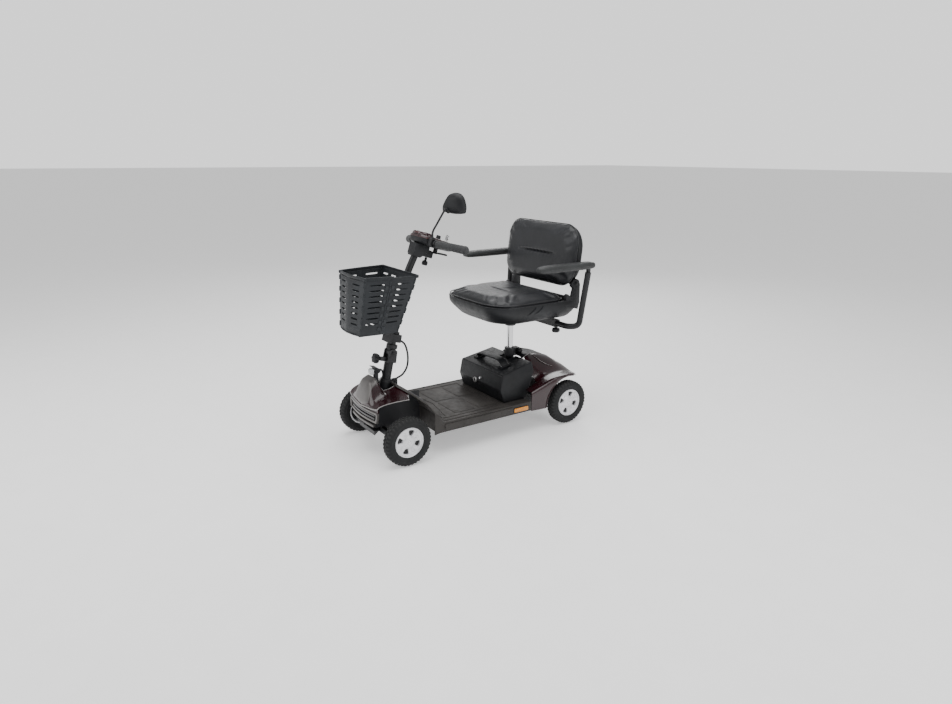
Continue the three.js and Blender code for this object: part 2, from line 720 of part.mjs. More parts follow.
function consoleCover() {
  const plate = loft([
    consoleRing(consoleSplit + gap, 1), consoleRing(consoleTop - 4, 0.98), consoleRing(consoleTop, 0.9),
  ]);
  const humpRing = (z, grow) =>
    [[32, -27], [52, -17], [57, 12], [40, 30], [-40, 30], [-57, 12], [-52, -17], [-32, -27]]
      .map(([x, y]) => [x * grow, y * grow, z]);
  const hump = loft([humpRing(consoleTop - 6, 1), humpRing(consoleTop + 9, 0.94), humpRing(consoleTop + 13, 0.8)]);
  const pocketFloor = consoleTop - hornSunk - hornTravel - gap;
  const hornPocket = rod(hornRadius + gap, [...hornPlace, pocketFloor], [...hornPlace, consoleTop + 1], 16);
  return cut(union(plate, hump), hornPocket);
}

function handlebar() {
  return bentTube(barPath, barRadius, 18, 12, 3);
}

function grip() {
  const bend = new THREE.Vector3(...barPath[2]);
  const tip = new THREE.Vector3(...barPath[3]);
  const at = (share) => bend.clone().lerp(tip, share).toArray();
  const outer = union(rod(14, at(0.12), at(0.6), 16, 15.5), rod(15.5, at(0.6), at(1.03), 16, 17));
  return cut(outer, rod(barRadius + gap, at(0), at(1.01), 12));
}

function throttleLever() {
  const hub = rod(9, [0, 80, -14], [0, 80, 8], 16);
  const bar = block([-30, 75, -13], [30, 85, -7]);
  const paddles = [-1, 1].map((side) => {
    const outline = [[26, 74], [66, 54], [112, 54], [120, 62], [110, 72], [66, 76], [26, 86]];
    return prism("z", outline.map(([x, y]) => [side * x, y]), -13, -6);
  });
  return union(hub, bar, ...paddles);
}

function ignitionKey() {
  const shaft = rod(3.5, [22, 106, consoleTop + gap], [22, 106, consoleTop + 7], 10);
  const bow = prism("y", [[16, 50], [28, 50], [34, 60], [30, 73], [14, 73], [10, 60]], 104.5, 107.5);
  return union(shaft, bow);
}

function speedDial() {
  const skirt = rod(12, [20, 66, consoleTop + gap], [20, 66, consoleTop + 4], 16);
  const cap = rod(9.5, [20, 66, consoleTop + 3], [20, 66, consoleTop + 17], 16, 8.5);
  return union(skirt, cap);
}

function hornButton() {
  return rod(hornRadius, [...hornPlace, consoleTop - hornSunk], [...hornPlace, consoleTop + 4], 16);
}

function mirrorStem() {
  const [x, y, z] = barPath[2];
  const clamp = cut(block([x - 9, y - 17, z - 17], [x + 9, y + 17, z + 17]), bentTube(barPath, barRadius + gap, 18, 12, 3));
  const stem = bentTube([[x, y - 4, z + 15], [x + 1, y - 12, z + 42], mirrorPivot], 4, 12, 8, 3);
  return union(clamp, stem, ball(7, mirrorPivot));
}

function mirrorRing(y, grow) {
  const outline = [[-58, -34], [-66, -22], [-60, -2], [-36, 30], [-16, 42], [12, 46], [38, 40], [56, 22], [66, -8],
    [64, -28], [54, -38], [0, -42]];
  return outline.map(([x, z]) => [22 + x * 0.86 * grow, y, 23.5 + z * 0.94 * grow]);
}

function mirrorHousing() {
  const shell = loft([mirrorRing(12, 0.5), mirrorRing(17, 0.75), mirrorRing(27, 0.95), mirrorRing(38, 1)]);
  const pocket = loft([mirrorRing(33, 0.9), mirrorRing(50, 0.9)]);
  const neck = rod(8, [0, 7 + gap, 0], [0, 24, 0], 12);
  return union(cut(shell, pocket), neck);
}

function mirrorGlass() {
  return loft([mirrorRing(33 + gap, 0.89), mirrorRing(36, 0.89)]);
}

function consoleKnob() {
  const stem = rod(5, [0, 46, -52], [0, 46, -36 - gap], 12);
  const head = rod(10, [0, 46, -70], [0, 46, -50], 12, 12);
  return union(stem, head);
}

// ---------------------------------------------------------------- seat

function seatPost() {
  return rod(postRadius, [0, postY, 160], [0, postY, 468], 24);
}

function seatBase() {
  const hub = cut(
    rod(24, [0, postY, 440], [0, postY, 482], 24),
    rod(postRadius + gap, [0, postY, 430], [0, postY, 468 + gap], 24),
  );
  const plate = prism("z", [[-90, 150], [90, 150], [120, 190], [120, 412], [-120, 412], [-120, 190]], 486, 492);
  const risers = union(
    block([-40, 205, 476], [40, 285, 488]),
    block([-60, armTubeY - 10, armTubeZ], [60, armTubeY + 10, 488]),
  );
  const receiver = block([-160, armTubeY - 15, armTubeZ - 15], [160, armTubeY + 15, armTubeZ + 15]);
  const boltBosses = union(...[-armKnobX, armKnobX].map((x) =>
    rod(9, [x, armTubeY, armTubeZ - 18], [x, armTubeY, armTubeZ - 13], 12)));
  const armBore = rod(armTubeRadius + gap, [-170, armTubeY, armTubeZ], [170, armTubeY, armTubeZ], 16);
  return cut(union(hub, plate, risers, receiver, boltBosses), armBore);
}

// The seat's plan: straight sides and rear, a full round front.
function seatOutline(halfWidth, frontY, rearY, cornerRadius) {
  const points = [];
  const frontRound = 120;
  for (let i = 0; i <= 6; i++) {
    const angle = (i / 6) * (Math.PI / 2);
    points.push([
      halfWidth - frontRound * 0.95 + frontRound * 0.95 * Math.cos(angle),
      frontY + frontRound * 0.75 - frontRound * 0.75 * Math.sin(angle),
    ]);
  }
  const mirrored = [...points].reverse().map(([x, y]) => [-x, y]);
  const rear = [];
  for (let i = 0; i <= 2; i++) {
    const angle = (i / 2) * (Math.PI / 2);
    rear.push([-halfWidth + cornerRadius * (1 - Math.cos(angle)), rearY - cornerRadius * (1 - Math.sin(angle))]);
  }
  const rearMirrored = [...rear].reverse().map(([x, y]) => [-x, y]);
  return [...points, ...mirrored, ...rear, ...rearMirrored];
}

function seatRing(halfWidth, frontY, rearY, z) {
  return seatOutline(halfWidth, frontY, rearY, 30).map(([x, y]) => [x, y, z]);
}

function seatShell() {
  const tray = cut(
    loft([
      seatRing(176, 62, 430, 492 + gap), seatRing(205, 34, 446, 520), seatRing(222, 10, 452, 548), seatRing(222, 8, 452, 575),
    ]),
    loft([seatRing(168, 70, 424, 500), seatRing(214, 18, 444, 552), seatRing(214, 18, 444, 590)]),
  );
  const brackets = [-222, 204].map((x) =>
    prism("x", [[376, 550], [446, 530], [455, 560], [454, 640], [446, 660], [430, 667], [414, 661], [407, 648],
      [408.5, 637], [414, 628.5], [421.5, 623], [413, 588], [400, 592.5], [388, 602], [380, 598]], x, x + 18));
  const bores = rod(5 + gap, [-230, 430, 645], [230, 430, 645], 12);
  return cut(union(tray, ...brackets), bores);
}

function seatCushion() {
  return loft([
    seatRing(213.5, 18.5, 372, 556), seatRing(213.5, 18.5, 372, 575 + gap), seatRing(216, 6, 374, 587),
    seatRing(210, 10, 370, 600), seatRing(184, 40, 348, 611),
  ]);
}

function backrestOutline(halfWidth, height, radius, y, inset) {
  const middle = height / 2;
  return roundedRectangle(halfWidth - inset, middle - inset, radius - inset, 4).map(([u, v]) => [u, y, middle + v]);
}

function backrestCushion() {
  const ring = (y, inset) => backrestOutline(235, 268, 78, y, inset);
  return loft([ring(0, 26), ring(6, 6), ring(16, 0), ring(28, 3), ring(33, 6)]);
}

function backrestShell() {
  const ring = (y, inset) => backrestOutline(228, 262, 110, y, inset).map(([x, py, z]) => [x, py, z + 3]);
  const panel = loft([ring(33 + gap, 4), ring(50, 0), ring(66, 12), ring(72, 40)]);
  const pinY = 57.2;
  const pinZ = 18.7;
  const lugs = [-201, 187].map((x) => union(
    rod(11, [x, pinY, pinZ], [x + 14, pinY, pinZ], 16),
    block([x, pinY - 11, pinZ], [x + 14, pinY + 9, 64]),
  ));
  const pins = [-1, 1].map((side) => rod(5, [side * 190, pinY, pinZ], [side * 224, pinY, pinZ], 12));
  return union(panel, ...lugs, ...pins);
}

function armrestTube() {
  const tube = bentTube([
    [64, armTubeY, armTubeZ], [232, armTubeY, armTubeZ], [259, 424, 464], [armrestX, armHinge[1], armHinge[2] - 32],
  ], armTubeRadius, 23, 12, 4);
  const [x, y, z] = armHinge;
  const eye = cut(
    union(rod(9, [x - 6, y, z], [x + 6, y, z], 16), block([x - 6, y - 7, z - 36], [x + 6, y + 7, z])),
    rod(3.5 + gap, [x - 8, y, z], [x + 8, y, z], 10),
  );
  return union(tube, eye);
}

function armrestPad() {
  const ring = (y, halfX, halfZ, z) =>
    roundedRectangle(halfX, halfZ, Math.min(halfX, halfZ) * 0.7, 2).map(([u, v]) => [u, y, z + v]);
  const pad = loft([
    ring(-277, 13, 6, -3), ring(-270, 20, 11, -2), ring(-228, 26, 15.5, -1), ring(-48, 26, 15.5, -1),
    ring(16, 24, 14, -1), ring(25, 19, 9, -1),
  ]);
  const slot = block([-6 - gap, -12, -20], [6 + gap, 32, 9 + gap]);
  return union(cut(pad, slot), rod(3.5, [-20, 0, 0], [20, 0, 0], 10));
}

function armrestKnob() {
  const stem = rod(5, [0, 0, 0], [0, 0, -5], 10);
  const head = rod(19, [0, 0, -4], [0, 0, -24], 12, 17);
  return union(stem, head);
}

function postKnob() {
  const stem = rod(4, [15 + gap, postY + 35, 320], [24, postY + 35, 320], 10);
  const head = rod(13, [22, postY + 35, 320], [38, postY + 35, 320], 8, 12);
  return union(stem, head);
}

function swivelLever() {
  return prism("z", [[122, 206], [132, 206], [206, 188], [214, 196], [204, 204], [132, 218], [122, 218]], 478, 483);
}

function tillerCable() {
  const route = [
    [0, -332.0, 449.0], [0, -316, 444.7], [0, -298, 424], [0, -288, 380], [0, -292, 334], [0, -314, 302], [0, -343, 288.5],
    [0, -355.2, 270.2],
  ].map((p) => new THREE.Vector3(...p));
  const section = new THREE.Shape(ringPoints(8).map(([c, s]) => new THREE.Vector2(4.2 * c, 4.2 * s)));
  const path = new THREE.CatmullRomCurve3(route);
  return solid(new THREE.ExtrudeGeometry(section, { extrudePath: path, steps: 22, bevelEnabled: false }));
}

// ---------------------------------------------------------------- assembly

function addChassis() {
  piece(scooter, "front_frame", frontFrame(), "frame");
  piece(scooter, "floor_pan", floorPan(), "panel");
  piece(scooter, "front_shroud", frontShroud(), "maroon");
  piece(scooter, "column_cover", columnCover(), "plastic");
  piece(scooter, "front_fascia", frontFascia(), "silver");
  piece(scooter, "headlight_housing", headlightHousing(), "plastic");
  piece(scooter, "headlight_lens", headlightLens(), "lens");
  piece(scooter, "rear_frame", rearFrame(), "frame");
  piece(scooter, "transaxle", transaxle(), "frame");
  piece(scooter, "freewheel_lever", freewheelLever(), "plastic");
  piece(scooter, "rear_shroud", rearShroud(), "maroon");
  piece(scooter, "reflector_left", sideReflector(), "amber");
  piece(group(scooter, [0, 0, 0], 0, true), "reflector_right", sideReflector(), "amber");
  piece(scooter, "post_clamp_knob", postKnob(), "plastic");
}

function addRunningGear() {
  for (const [side, mirrored] of [["left", false], ["right", true]]) {
    const x = mirrored ? -1 : 1;
    const kingpin = group(scooter, [x * kingpinX, frontAxleY - trail, wheelRadius], rake, mirrored);
    piece(kingpin, `knuckle_${side}`, knuckle(), "frame");
    addWheel(scooter, `front_${side}`, [x * wheelCentreX, frontAxleY, wheelRadius], mirrored);
    addWheel(scooter, `rear_${side}`, [x * wheelCentreX, rearAxleY, wheelRadius], mirrored);
  }
}

function addSteering() {
  const column = group(scooter, [0, frontAxleY - trail, wheelRadius], rake);
  piece(column, "steering_column", steeringColumn(), "frame");
  piece(column, "tie_rod", tieRod(), "frame");
  const lockZ = foldHeight - 30;
  const knob = union(
    rod(5, [0, -44 - gap, lockZ], [0, -56, lockZ], 12),
    rod(15, [0, -54, lockZ], [0, -74, lockZ], 8, 13),
  );
  piece(column, "tiller_lock_knob", knob, "plastic");

  const tiller = group(scooter, foldPivot, tillerLean);
  piece(tiller, "tiller_tube", tillerTube(), "frame");
  piece(tiller, "basket_bracket", basketBracket(), "plastic");
  piece(scooter, "basket", basket(), "basket");
  piece(scooter, "tiller_cable", tillerCable(), "rubber");

  const head = group(scooter, headOrigin, headLean);
  piece(head, "tiller_head", tillerHead(), "plastic");
  piece(head, "console_knob", consoleKnob(), "plastic");
  piece(head, "console_housing", consoleHousing(), "plastic");
  piece(head, "console_cover", consoleCover(), "maroon");
  piece(head, "handlebar", handlebar(), "frame");
  piece(head, "grip_left", grip(), "grip");
  piece(group(head, [0, 0, 0], 0, true), "grip_right", grip(), "grip");
  piece(head, "throttle_lever", throttleLever(), "plastic");
  piece(head, "ignition_key", ignitionKey(), "chrome");
  piece(head, "speed_dial", speedDial(), "plastic");
  piece(head, "horn_button", hornButton(), "amber");
  piece(head, "mirror_stem", mirrorStem(), "frame");
  const mirror = group(head, mirrorPivot, -headLean);
  mirror.rotation.z = mirrorYaw;
  piece(mirror, "mirror_housing", mirrorHousing(), "plastic");
  piece(mirror, "mirror_glass", mirrorGlass(), "chrome");
}

function addBattery() {
  piece(scooter, "battery_box", batteryBox(), "plastic");
  const lidSlope = Math.atan2(300 - 266, 254 - 86);
  const lid = group(scooter, [0, 150, 266 + (150 - 86) * Math.tan(lidSlope) + gap], -lidSlope);
  piece(lid, "battery_handle", batteryHandle(), "plastic");
}

function addSeat() {
  piece(scooter, "seat_post", seatPost(), "chrome");
  piece(scooter, "seat_base", seatBase(), "frame");
  piece(scooter, "seat_shell", seatShell(), "plastic");
  piece(scooter, "seat_cushion", seatCushion(), "vinyl");
  piece(group(scooter, [0, 0, 0], 0, true), "swivel_lever", swivelLever(), "plastic");
  const back = group(scooter, [0, 371, 633], backrestLean);
  piece(back, "backrest_shell", backrestShell(), "plastic");
  piece(back, "backrest_cushion", backrestCushion(), "vinyl");
  for (const [side, mirrored] of [["left", false], ["right", true]]) {
    const x = mirrored ? -1 : 1;
    piece(group(scooter, [0, 0, 0], 0, mirrored), `armrest_tube_${side}`, armrestTube(), "frame");
    piece(group(scooter, [x * armHinge[0], armHinge[1], armHinge[2]]), `armrest_pad_${side}`, armrestPad(), "grip");
    piece(group(scooter, [x * armKnobX, armTubeY, armTubeZ - 18 - gap]), `armrest_knob_${side}`, armrestKnob(), "plastic");
  }
}

addChassis();
addRunningGear();
addSteering();
addBattery();
addSeat();

export default scooter;
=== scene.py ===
"""A travel mobility scooter: finishes, body panels, wheels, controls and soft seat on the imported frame."""
import math

import bmesh
import bpy
import numpy as np
from mathutils import Matrix, Vector


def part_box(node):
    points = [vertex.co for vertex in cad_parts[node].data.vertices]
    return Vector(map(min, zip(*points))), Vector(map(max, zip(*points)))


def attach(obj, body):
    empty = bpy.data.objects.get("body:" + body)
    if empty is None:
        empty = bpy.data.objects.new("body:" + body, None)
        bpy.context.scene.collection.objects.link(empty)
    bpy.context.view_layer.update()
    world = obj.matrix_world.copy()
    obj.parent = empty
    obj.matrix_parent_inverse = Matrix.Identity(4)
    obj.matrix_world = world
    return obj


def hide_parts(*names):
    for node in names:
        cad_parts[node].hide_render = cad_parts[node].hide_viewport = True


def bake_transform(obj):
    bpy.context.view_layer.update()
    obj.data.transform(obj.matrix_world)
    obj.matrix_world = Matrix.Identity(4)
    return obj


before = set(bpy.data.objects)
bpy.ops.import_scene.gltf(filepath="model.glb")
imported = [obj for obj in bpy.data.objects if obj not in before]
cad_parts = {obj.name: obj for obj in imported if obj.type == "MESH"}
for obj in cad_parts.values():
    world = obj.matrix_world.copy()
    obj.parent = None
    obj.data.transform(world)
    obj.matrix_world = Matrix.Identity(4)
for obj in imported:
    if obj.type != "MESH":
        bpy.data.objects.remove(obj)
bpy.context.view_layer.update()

# ---------------------------------------------------------------- frames of the design, in millimetres

WHEEL_RADIUS = 100
AXLE_Y = 412
# The rear tyre ends at the axle plus a wheel radius, which gives the chassis's own Y origin.
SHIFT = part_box("rear_left_tyre")[1].y - (AXLE_Y + WHEEL_RADIUS) / 1000
CHASSIS = Matrix.Translation((0, SHIFT, 0)) @ Matrix.Scale(0.001, 4)


def leaning(origin, degrees):
    return CHASSIS @ Matrix.Translation(origin) @ Matrix.Rotation(-math.radians(degrees), 4, "X")


RAKE = math.radians(12.7)
FOLD = 314
COLUMN = leaning((0, -436, 100), 12.7)
TILLER = leaning((0, -436 + FOLD * math.sin(RAKE), 100 + FOLD * math.cos(RAKE)), 15)
HEAD = leaning((0, -225, 830), 18)
BACK = leaning((0, 371, 633), 6.6)
LID = leaning((0, 150, 279.35), -11.44)
MIRROR = HEAD @ Matrix.Translation((115, 4, 155)) @ Matrix.Rotation(math.radians(18), 4,
                                                                    "X") @ Matrix.Rotation(
    math.radians(20), 4, "Z")

POST_AT = (0, 243, 0)
HORN_AT, DIAL_AT, KEY_AT = (-28, 88, 0), (20, 66, 0), (22, 106, 0)
ARM_X, ARM_Y, ARM_Z = 275, 449, 733
SEAT_HINGE = (0, 430, 645)

# ---------------------------------------------------------------- camera and light

CAMERA_AT = Vector((2.4033, -1.5499, 1.1845))
AZIMUTH, ELEVATION, ROLL = math.radians(55.926), math.radians(16.236), math.radians(0.303)
camera_data = bpy.data.cameras.new("camera")
camera_data.sensor_width = 36
camera_data.lens = 25.657
camera = bpy.data.objects.new("camera", camera_data)
bpy.context.scene.collection.objects.link(camera)
look = Vector((-math.sin(AZIMUTH) * math.cos(ELEVATION), math.cos(AZIMUTH) * math.cos(ELEVATION),
               -math.sin(ELEVATION)))
camera.rotation_euler = (look.to_track_quat("-Z", "Y").to_matrix() @ Matrix.Rotation(ROLL, 3,
                                                                                     "Z")).to_euler()
camera.location = CAMERA_AT
bpy.context.scene.camera = camera


def area_light(name, place, target, size, power):
    data = bpy.data.lights.new(name, "AREA")
    data.shape = "RECTANGLE"
    data.size, data.size_y = size
    data.energy = power
    light = bpy.data.objects.new(name, data)
    light.location = place
    light.rotation_euler = (Vector(target) - Vector(place)).to_track_quat("-Z", "Y").to_euler()
    bpy.context.scene.collection.objects.link(light)


area_light("top_softbox", (0.3, -0.2, 3.2), (0, 0, 0.4), (3.2, 3.2), 105)
area_light("front_softbox", (-0.8, -3.2, 1.9), (0, 0, 0.4), (2.4, 2.0), 40)
area_light("side_softbox", (3.3, 0.9, 1.6), (0, 0, 0.4), (1.8, 1.8), 30)
area_light("back_softbox", (-2.6, 2.2, 2.2), (0, 0, 0.5), (2.0, 1.6), 34)

world = bpy.data.worlds.new("studio")
bpy.context.scene.world = world
world.use_nodes = True
world.node_tree.nodes["Background"].inputs["Color"].default_value = (1, 1, 1, 1)
# the backdrop is bright behind the object, and dimmer where it lights or is reflected in it
backdrop = world.node_tree.nodes.new("ShaderNodeMapRange")
backdrop.inputs["To Min"].default_value, backdrop.inputs["To Max"].default_value = 0.5, 1.35
rays = world.node_tree.nodes.new("ShaderNodeLightPath")
world.node_tree.links.new(rays.outputs["Is Camera Ray"], backdrop.inputs["Value"])
world.node_tree.links.new(backdrop.outputs["Result"],
                          world.node_tree.nodes["Background"].inputs["Strength"])

# ---------------------------------------------------------------- procedural materials


def ramp(tree, source, stops):
    node = tree.nodes.new("ShaderNodeValToRGB")
    elements = node.color_ramp.elements
    elements[0].position, elements[0].color = stops[0][0], (*stops[0][1], 1)
    elements[1].position, elements[1].color = stops[-1][0], (*stops[-1][1], 1)
    for position, colour in stops[1:-1]:
        elements.new(position).color = (*colour, 1)
    tree.links.new(source, node.inputs["Fac"])
    return node.outputs["Color"]


def spread(tree, source, low, high, from_low=0.3, from_high=0.7):
    node = tree.nodes.new("ShaderNodeMapRange")
    node.inputs["From Min"].default_value, node.inputs["From Max"].default_value = from_low, from_high
    node.inputs["To Min"].default_value, node.inputs["To Max"].default_value = low, high
    tree.links.new(source, node.inputs["Value"])
    return node.outputs["Result"]


def pattern(tree, place, kind, scale, detail=5.0):
    node = tree.nodes.new("ShaderNodeTexVoronoi" if kind == "cells" else "ShaderNodeTexNoise")
    node.inputs["Scale"].default_value = scale
    if kind == "cells":
        node.feature = "DISTANCE_TO_EDGE"
    else:
        node.inputs["Detail"].default_value = detail
    tree.links.new(place, node.inputs["Vector"])
    return node.outputs["Distance"] if kind == "cells" else node.outputs["Fac"]


def surface(name, dark, light, rough, kind="noise", grain=400, depth=0.1, patch=9, wear=None, dust=None,
            **fixed):
    """A finish with soft patches of colour, grain in its bump, uneven gloss, worn edges and dust."""
    made = bpy.data.materials.new(name)
    made.use_nodes = True
    tree = made.node_tree
    shader = tree.nodes["Principled BSDF"]
    place = tree.nodes.new("ShaderNodeTexCoord").outputs["Object"]
    soft = pattern(tree, place, "noise", patch)
    colour = ramp(tree, soft, [(0.32, dark), (0.68, light)])
    geometry = tree.nodes.new("ShaderNodeNewGeometry")
    if wear:
        edge = spread(tree, geometry.outputs["Pointiness"], 0, 0.55, 0.52, 0.6)
        colour = blend_colour(tree, edge, colour, wear)
    if dust:
        split = tree.nodes.new("ShaderNodeSeparateXYZ")
        tree.links.new(geometry.outputs["Normal"], split.inputs[0])
        facing = spread(tree, split.outputs["Z"], 0, 1, 0.2, 1)
        cloud = spread(tree, pattern(tree, place, "noise", 28), 0, 0.3)
        amount = tree.nodes.new("ShaderNodeMath")
        amount.operation = "MULTIPLY"
        tree.links.new(facing, amount.inputs[0])
        tree.links.new(cloud, amount.inputs[1])
        colour = blend_colour(tree, amount.outputs[0], colour, dust)
    tree.links.new(colour, shader.inputs["Base Color"])
    gloss = pattern(tree, place, "noise", patch * 6)
    tree.links.new(spread(tree, gloss, *rough), shader.inputs["Roughness"])
    fine = pattern(tree, place, kind, grain)
    height = spread(tree, fine, 0, 1, 0.0, 0.12) if kind == "cells" else fine
    bump = tree.nodes.new("ShaderNodeBump")
    bump.inputs["Strength"].default_value = depth
    bump.inputs["Distance"].default_value = 0.0006
    tree.links.new(height, bump.inputs["Height"])
    tree.links.new(bump.outputs["Normal"], shader.inputs["Normal"])
    for socket, value in fixed.items():
        shader.inputs[socket.replace("_", " ")].default_value = value
    return made


def blend_colour(tree, amount, below, above):
    mix = tree.nodes.new("ShaderNodeMix")
    mix.data_type = "RGBA"
    tree.links.new(amount, mix.inputs["Factor"])
    tree.links.new(below, mix.inputs["A"])
    mix.inputs["B"].default_value = (*above, 1)
    return mix.outputs["Result"]


finish = {
    "frame": surface("powder_coat", (0.006, 0.006, 0.007), (0.012, 0.0125, 0.014), (0.34, 0.47), grain=900,
                     depth=0.25, wear=(0.04, 0.04, 0.043), Specular_IOR_Level=0.3),
    "deck_rubber": surface("deck_mat", (0.024, 0.0215, 0.020), (0.043, 0.039, 0.036), (0.48, 0.65),
                           grain=700,
                           depth=0.45, dust=(0.07, 0.064, 0.059), Specular_IOR_Level=0.3),
    "maroon_gloss": surface("maroon_lacquer", (0.011, 0.0008, 0.0022), (0.020, 0.0014, 0.0040),
                            (0.18, 0.26), grain=1500,
                            depth=0.03, Coat_Weight=0.35, Coat_Roughness=0.05),
    "silver_trim": surface("silver_lacquer", (0.22, 0.208, 0.204), (0.31, 0.297, 0.292), (0.28, 0.4),
                           grain=1800,
                           depth=0.08, wear=(0.5, 0.5, 0.5), Metallic=0.55),
    "black_plastic": surface("moulded_black", (0.005, 0.0055, 0.0065), (0.011, 0.0118, 0.014), (0.40, 0.54),
                             "cells",
                             grain=1100, depth=0.12, wear=(0.03, 0.03, 0.033), Specular_IOR_Level=0.28),
    "clear_lens": surface("lamp_lens", (0.70, 0.72, 0.74), (0.86, 0.87, 0.88), (0.06, 0.12), grain=260,
                          depth=0.25,
                          Transmission_Weight=0.45, IOR=1.49),
    "amber": surface("amber_reflector", (0.62, 0.20, 0.0), (0.80, 0.31, 0.004), (0.12, 0.2), "cells",
                     grain=420,
                     depth=0.7, Coat_Weight=0.6),
    "tyre": surface("tyre_rubber", (0.011, 0.0115, 0.012), (0.019, 0.0195, 0.020), (0.66, 0.8), grain=650,
                    depth=0.4,
                    dust=(0.045, 0.044, 0.042), wear=(0.045, 0.045, 0.045), Specular_IOR_Level=0.25),
    "rim": surface("rim_paint", (0.66, 0.66, 0.68), (0.80, 0.80, 0.82), (0.24, 0.34), grain=1600,
                   depth=0.05,
                   Metallic=0.15, Coat_Weight=0.3),
    "basket_plastic": surface("basket_moulding", (0.009, 0.0105, 0.013), (0.016, 0.0185, 0.022),
                              (0.36, 0.5), "cells",
                              grain=900, depth=0.15, wear=(0.03, 0.034, 0.038), Specular_IOR_Level=0.28),
    "grip_foam": surface("grip_foam", (0.030, 0.031, 0.033), (0.050, 0.051, 0.053), (0.7, 0.85), "cells",
                         grain=1300,
                         depth=0.6, Sheen_Weight=0.1, Specular_IOR_Level=0.25),
    "vinyl": surface("leathercloth", (0.009, 0.0096, 0.0115), (0.016, 0.0168, 0.0195), (0.3, 0.44), "cells",
                     grain=520,
                     depth=0.22, wear=(0.045, 0.045, 0.05), Specular_IOR_Level=0.4, Coat_Weight=0.08,
                     Coat_Roughness=0.3),
    "chrome": surface("chrome_plate", (0.62, 0.62, 0.63), (0.75, 0.75, 0.76), (0.07, 0.14), grain=500,
                      depth=0.02,
                      Metallic=1.0),
    "mirror_glass": surface("silvered_glass", (0.80, 0.82, 0.84), (0.88, 0.89, 0.9), (0.02, 0.05), grain=60,
                            depth=0.01, Metallic=1.0),
    "cable_rubber": surface("cable_jacket", (0.008, 0.008, 0.009), (0.015, 0.015, 0.0165), (0.4, 0.55),
                            grain=800,
                            depth=0.2),
}
pad_skin = surface("armrest_skin", (0.014, 0.0152, 0.016), (0.024, 0.0256, 0.0265), (0.45, 0.6), "cells",
                   grain=800,
                   depth=0.3, wear=(0.07, 0.07, 0.07))
recess_grey = surface("recess_grey", (0.035, 0.034, 0.036), (0.065, 0.062, 0.063), (0.3, 0.45), grain=900,
                      depth=0.15)
pewter = surface("pewter_lacquer", (0.10, 0.094, 0.091), (0.17, 0.161, 0.157), (0.3, 0.42), grain=1800,
                 depth=0.08,
                 Metallic=0.5)
red_lens = surface("red_lens", (0.030, 0.0015, 0.003), (0.055, 0.0035, 0.005), (0.1, 0.18), grain=500,
                   depth=0.1,
                   Coat_Weight=0.7)
thread = surface("stitching_thread", (0.03, 0.031, 0.034), (0.06, 0.061, 0.064), (0.6, 0.75), grain=2600,
                 depth=0.5)
white_print = surface("dial_marks", (0.55, 0.55, 0.55), (0.75, 0.75, 0.75), (0.5, 0.6), grain=1500,
                      depth=0.1)
floor_paint = surface("studio_floor", (0.86, 0.86, 0.86), (0.89, 0.89, 0.89), (0.55, 0.65), grain=90,
                      depth=0.02,
                      Emission_Color=(1, 1, 1, 1), Emission_Strength=0.4)

# ---------------------------------------------------------------- building meshes


def make(name, points, faces, at=CHASSIS):
    mesh = bpy.data.meshes.new(name)
    mesh.from_pydata([at @ Vector(p) for p in points], [], faces)
    made = bmesh.new()
    made.from_mesh(mesh)
    bmesh.ops.remove_doubles(made, verts=made.verts, dist=1e-6)
    bmesh.ops.recalc_face_normals(made, faces=made.faces)
    made.to_mesh(mesh)
    made.free()
    obj = bpy.data.objects.new(name, mesh)
    bpy.context.scene.collection.objects.link(obj)
    return obj


def settle(obj):
    """Applies every modifier."""
    bpy.context.view_layer.update()
    evaluated = obj.evaluated_get(bpy.context.evaluated_depsgraph_get())
    mesh = bpy.data.meshes.new_from_object(evaluated)
    obj.modifiers.clear()
    old, obj.data = obj.data, mesh
    bpy.data.meshes.remove(old)
    return obj


def shade(obj, degrees=32):
    mesh = bmesh.new()
    mesh.from_mesh(obj.data)
    limit = math.radians(degrees)
    for face in mesh.faces:
        face.smooth = True
    for edge in mesh.edges:
        edge.smooth = len(edge.link_faces) == 2 and edge.calc_face_angle(0) < limit
    mesh.to_mesh(obj.data)
    mesh.free()
    return obj


def thicken(obj, millimetres, offset=-1):
    modifier = obj.modifiers.new("thickness", "SOLIDIFY")
    modifier.thickness = millimetres / 1000
    modifier.offset = offset
    modifier.use_even_offset = True
    return settle(obj)


def rounded(obj, millimetres, segments=2, degrees=30):
    modifier = obj.modifiers.new("edges", "BEVEL")
    modifier.width = millimetres / 1000
    modifier.segments = segments
    modifier.limit_method = "ANGLE"
    modifier.angle_limit = math.radians(degrees)
    return settle(obj)


def subdivided(obj, levels=1):
    modifier = obj.modifiers.new("subdivision", "SUBSURF")
    modifier.levels = modifier.render_levels = levels
    return settle(obj)


def carve(obj, *cutters):
    for cutter in cutters:
        modifier = obj.modifiers.new("cut", "BOOLEAN")
        modifier.operation = "DIFFERENCE"
        modifier.solver = "EXACT"
        modifier.object = cutter
        settle(obj)
        bpy.data.objects.remove(cutter)
    return obj


def join(name, *objects):
    mesh = bmesh.new()
    for obj in objects:
        mesh.from_mesh(obj.data)
    data = bpy.data.meshes.new(name)
    mesh.to_mesh(data)
    mesh.free()
    for obj in objects:
        bpy.data.objects.remove(obj)
    made = bpy.data.objects.new(name, data)
    bpy.context.scene.collection.objects.link(made)
    return made


def dress(obj, material, body, nodes=(), degrees=32):
    """Shades the piece, gives it its finish, and lets it ride on its body in place of its CAD nodes."""
    shade(obj, degrees)
    obj.data.materials.clear()
    obj.data.materials.append(finish[material] if isinstance(material, str) else material)
    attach(obj, body)
    if nodes:
        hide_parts(*nodes)
    return obj


AXES = {"x": (1, 2, 0), "y": (0, 2, 1), "z": (0, 1, 2)}


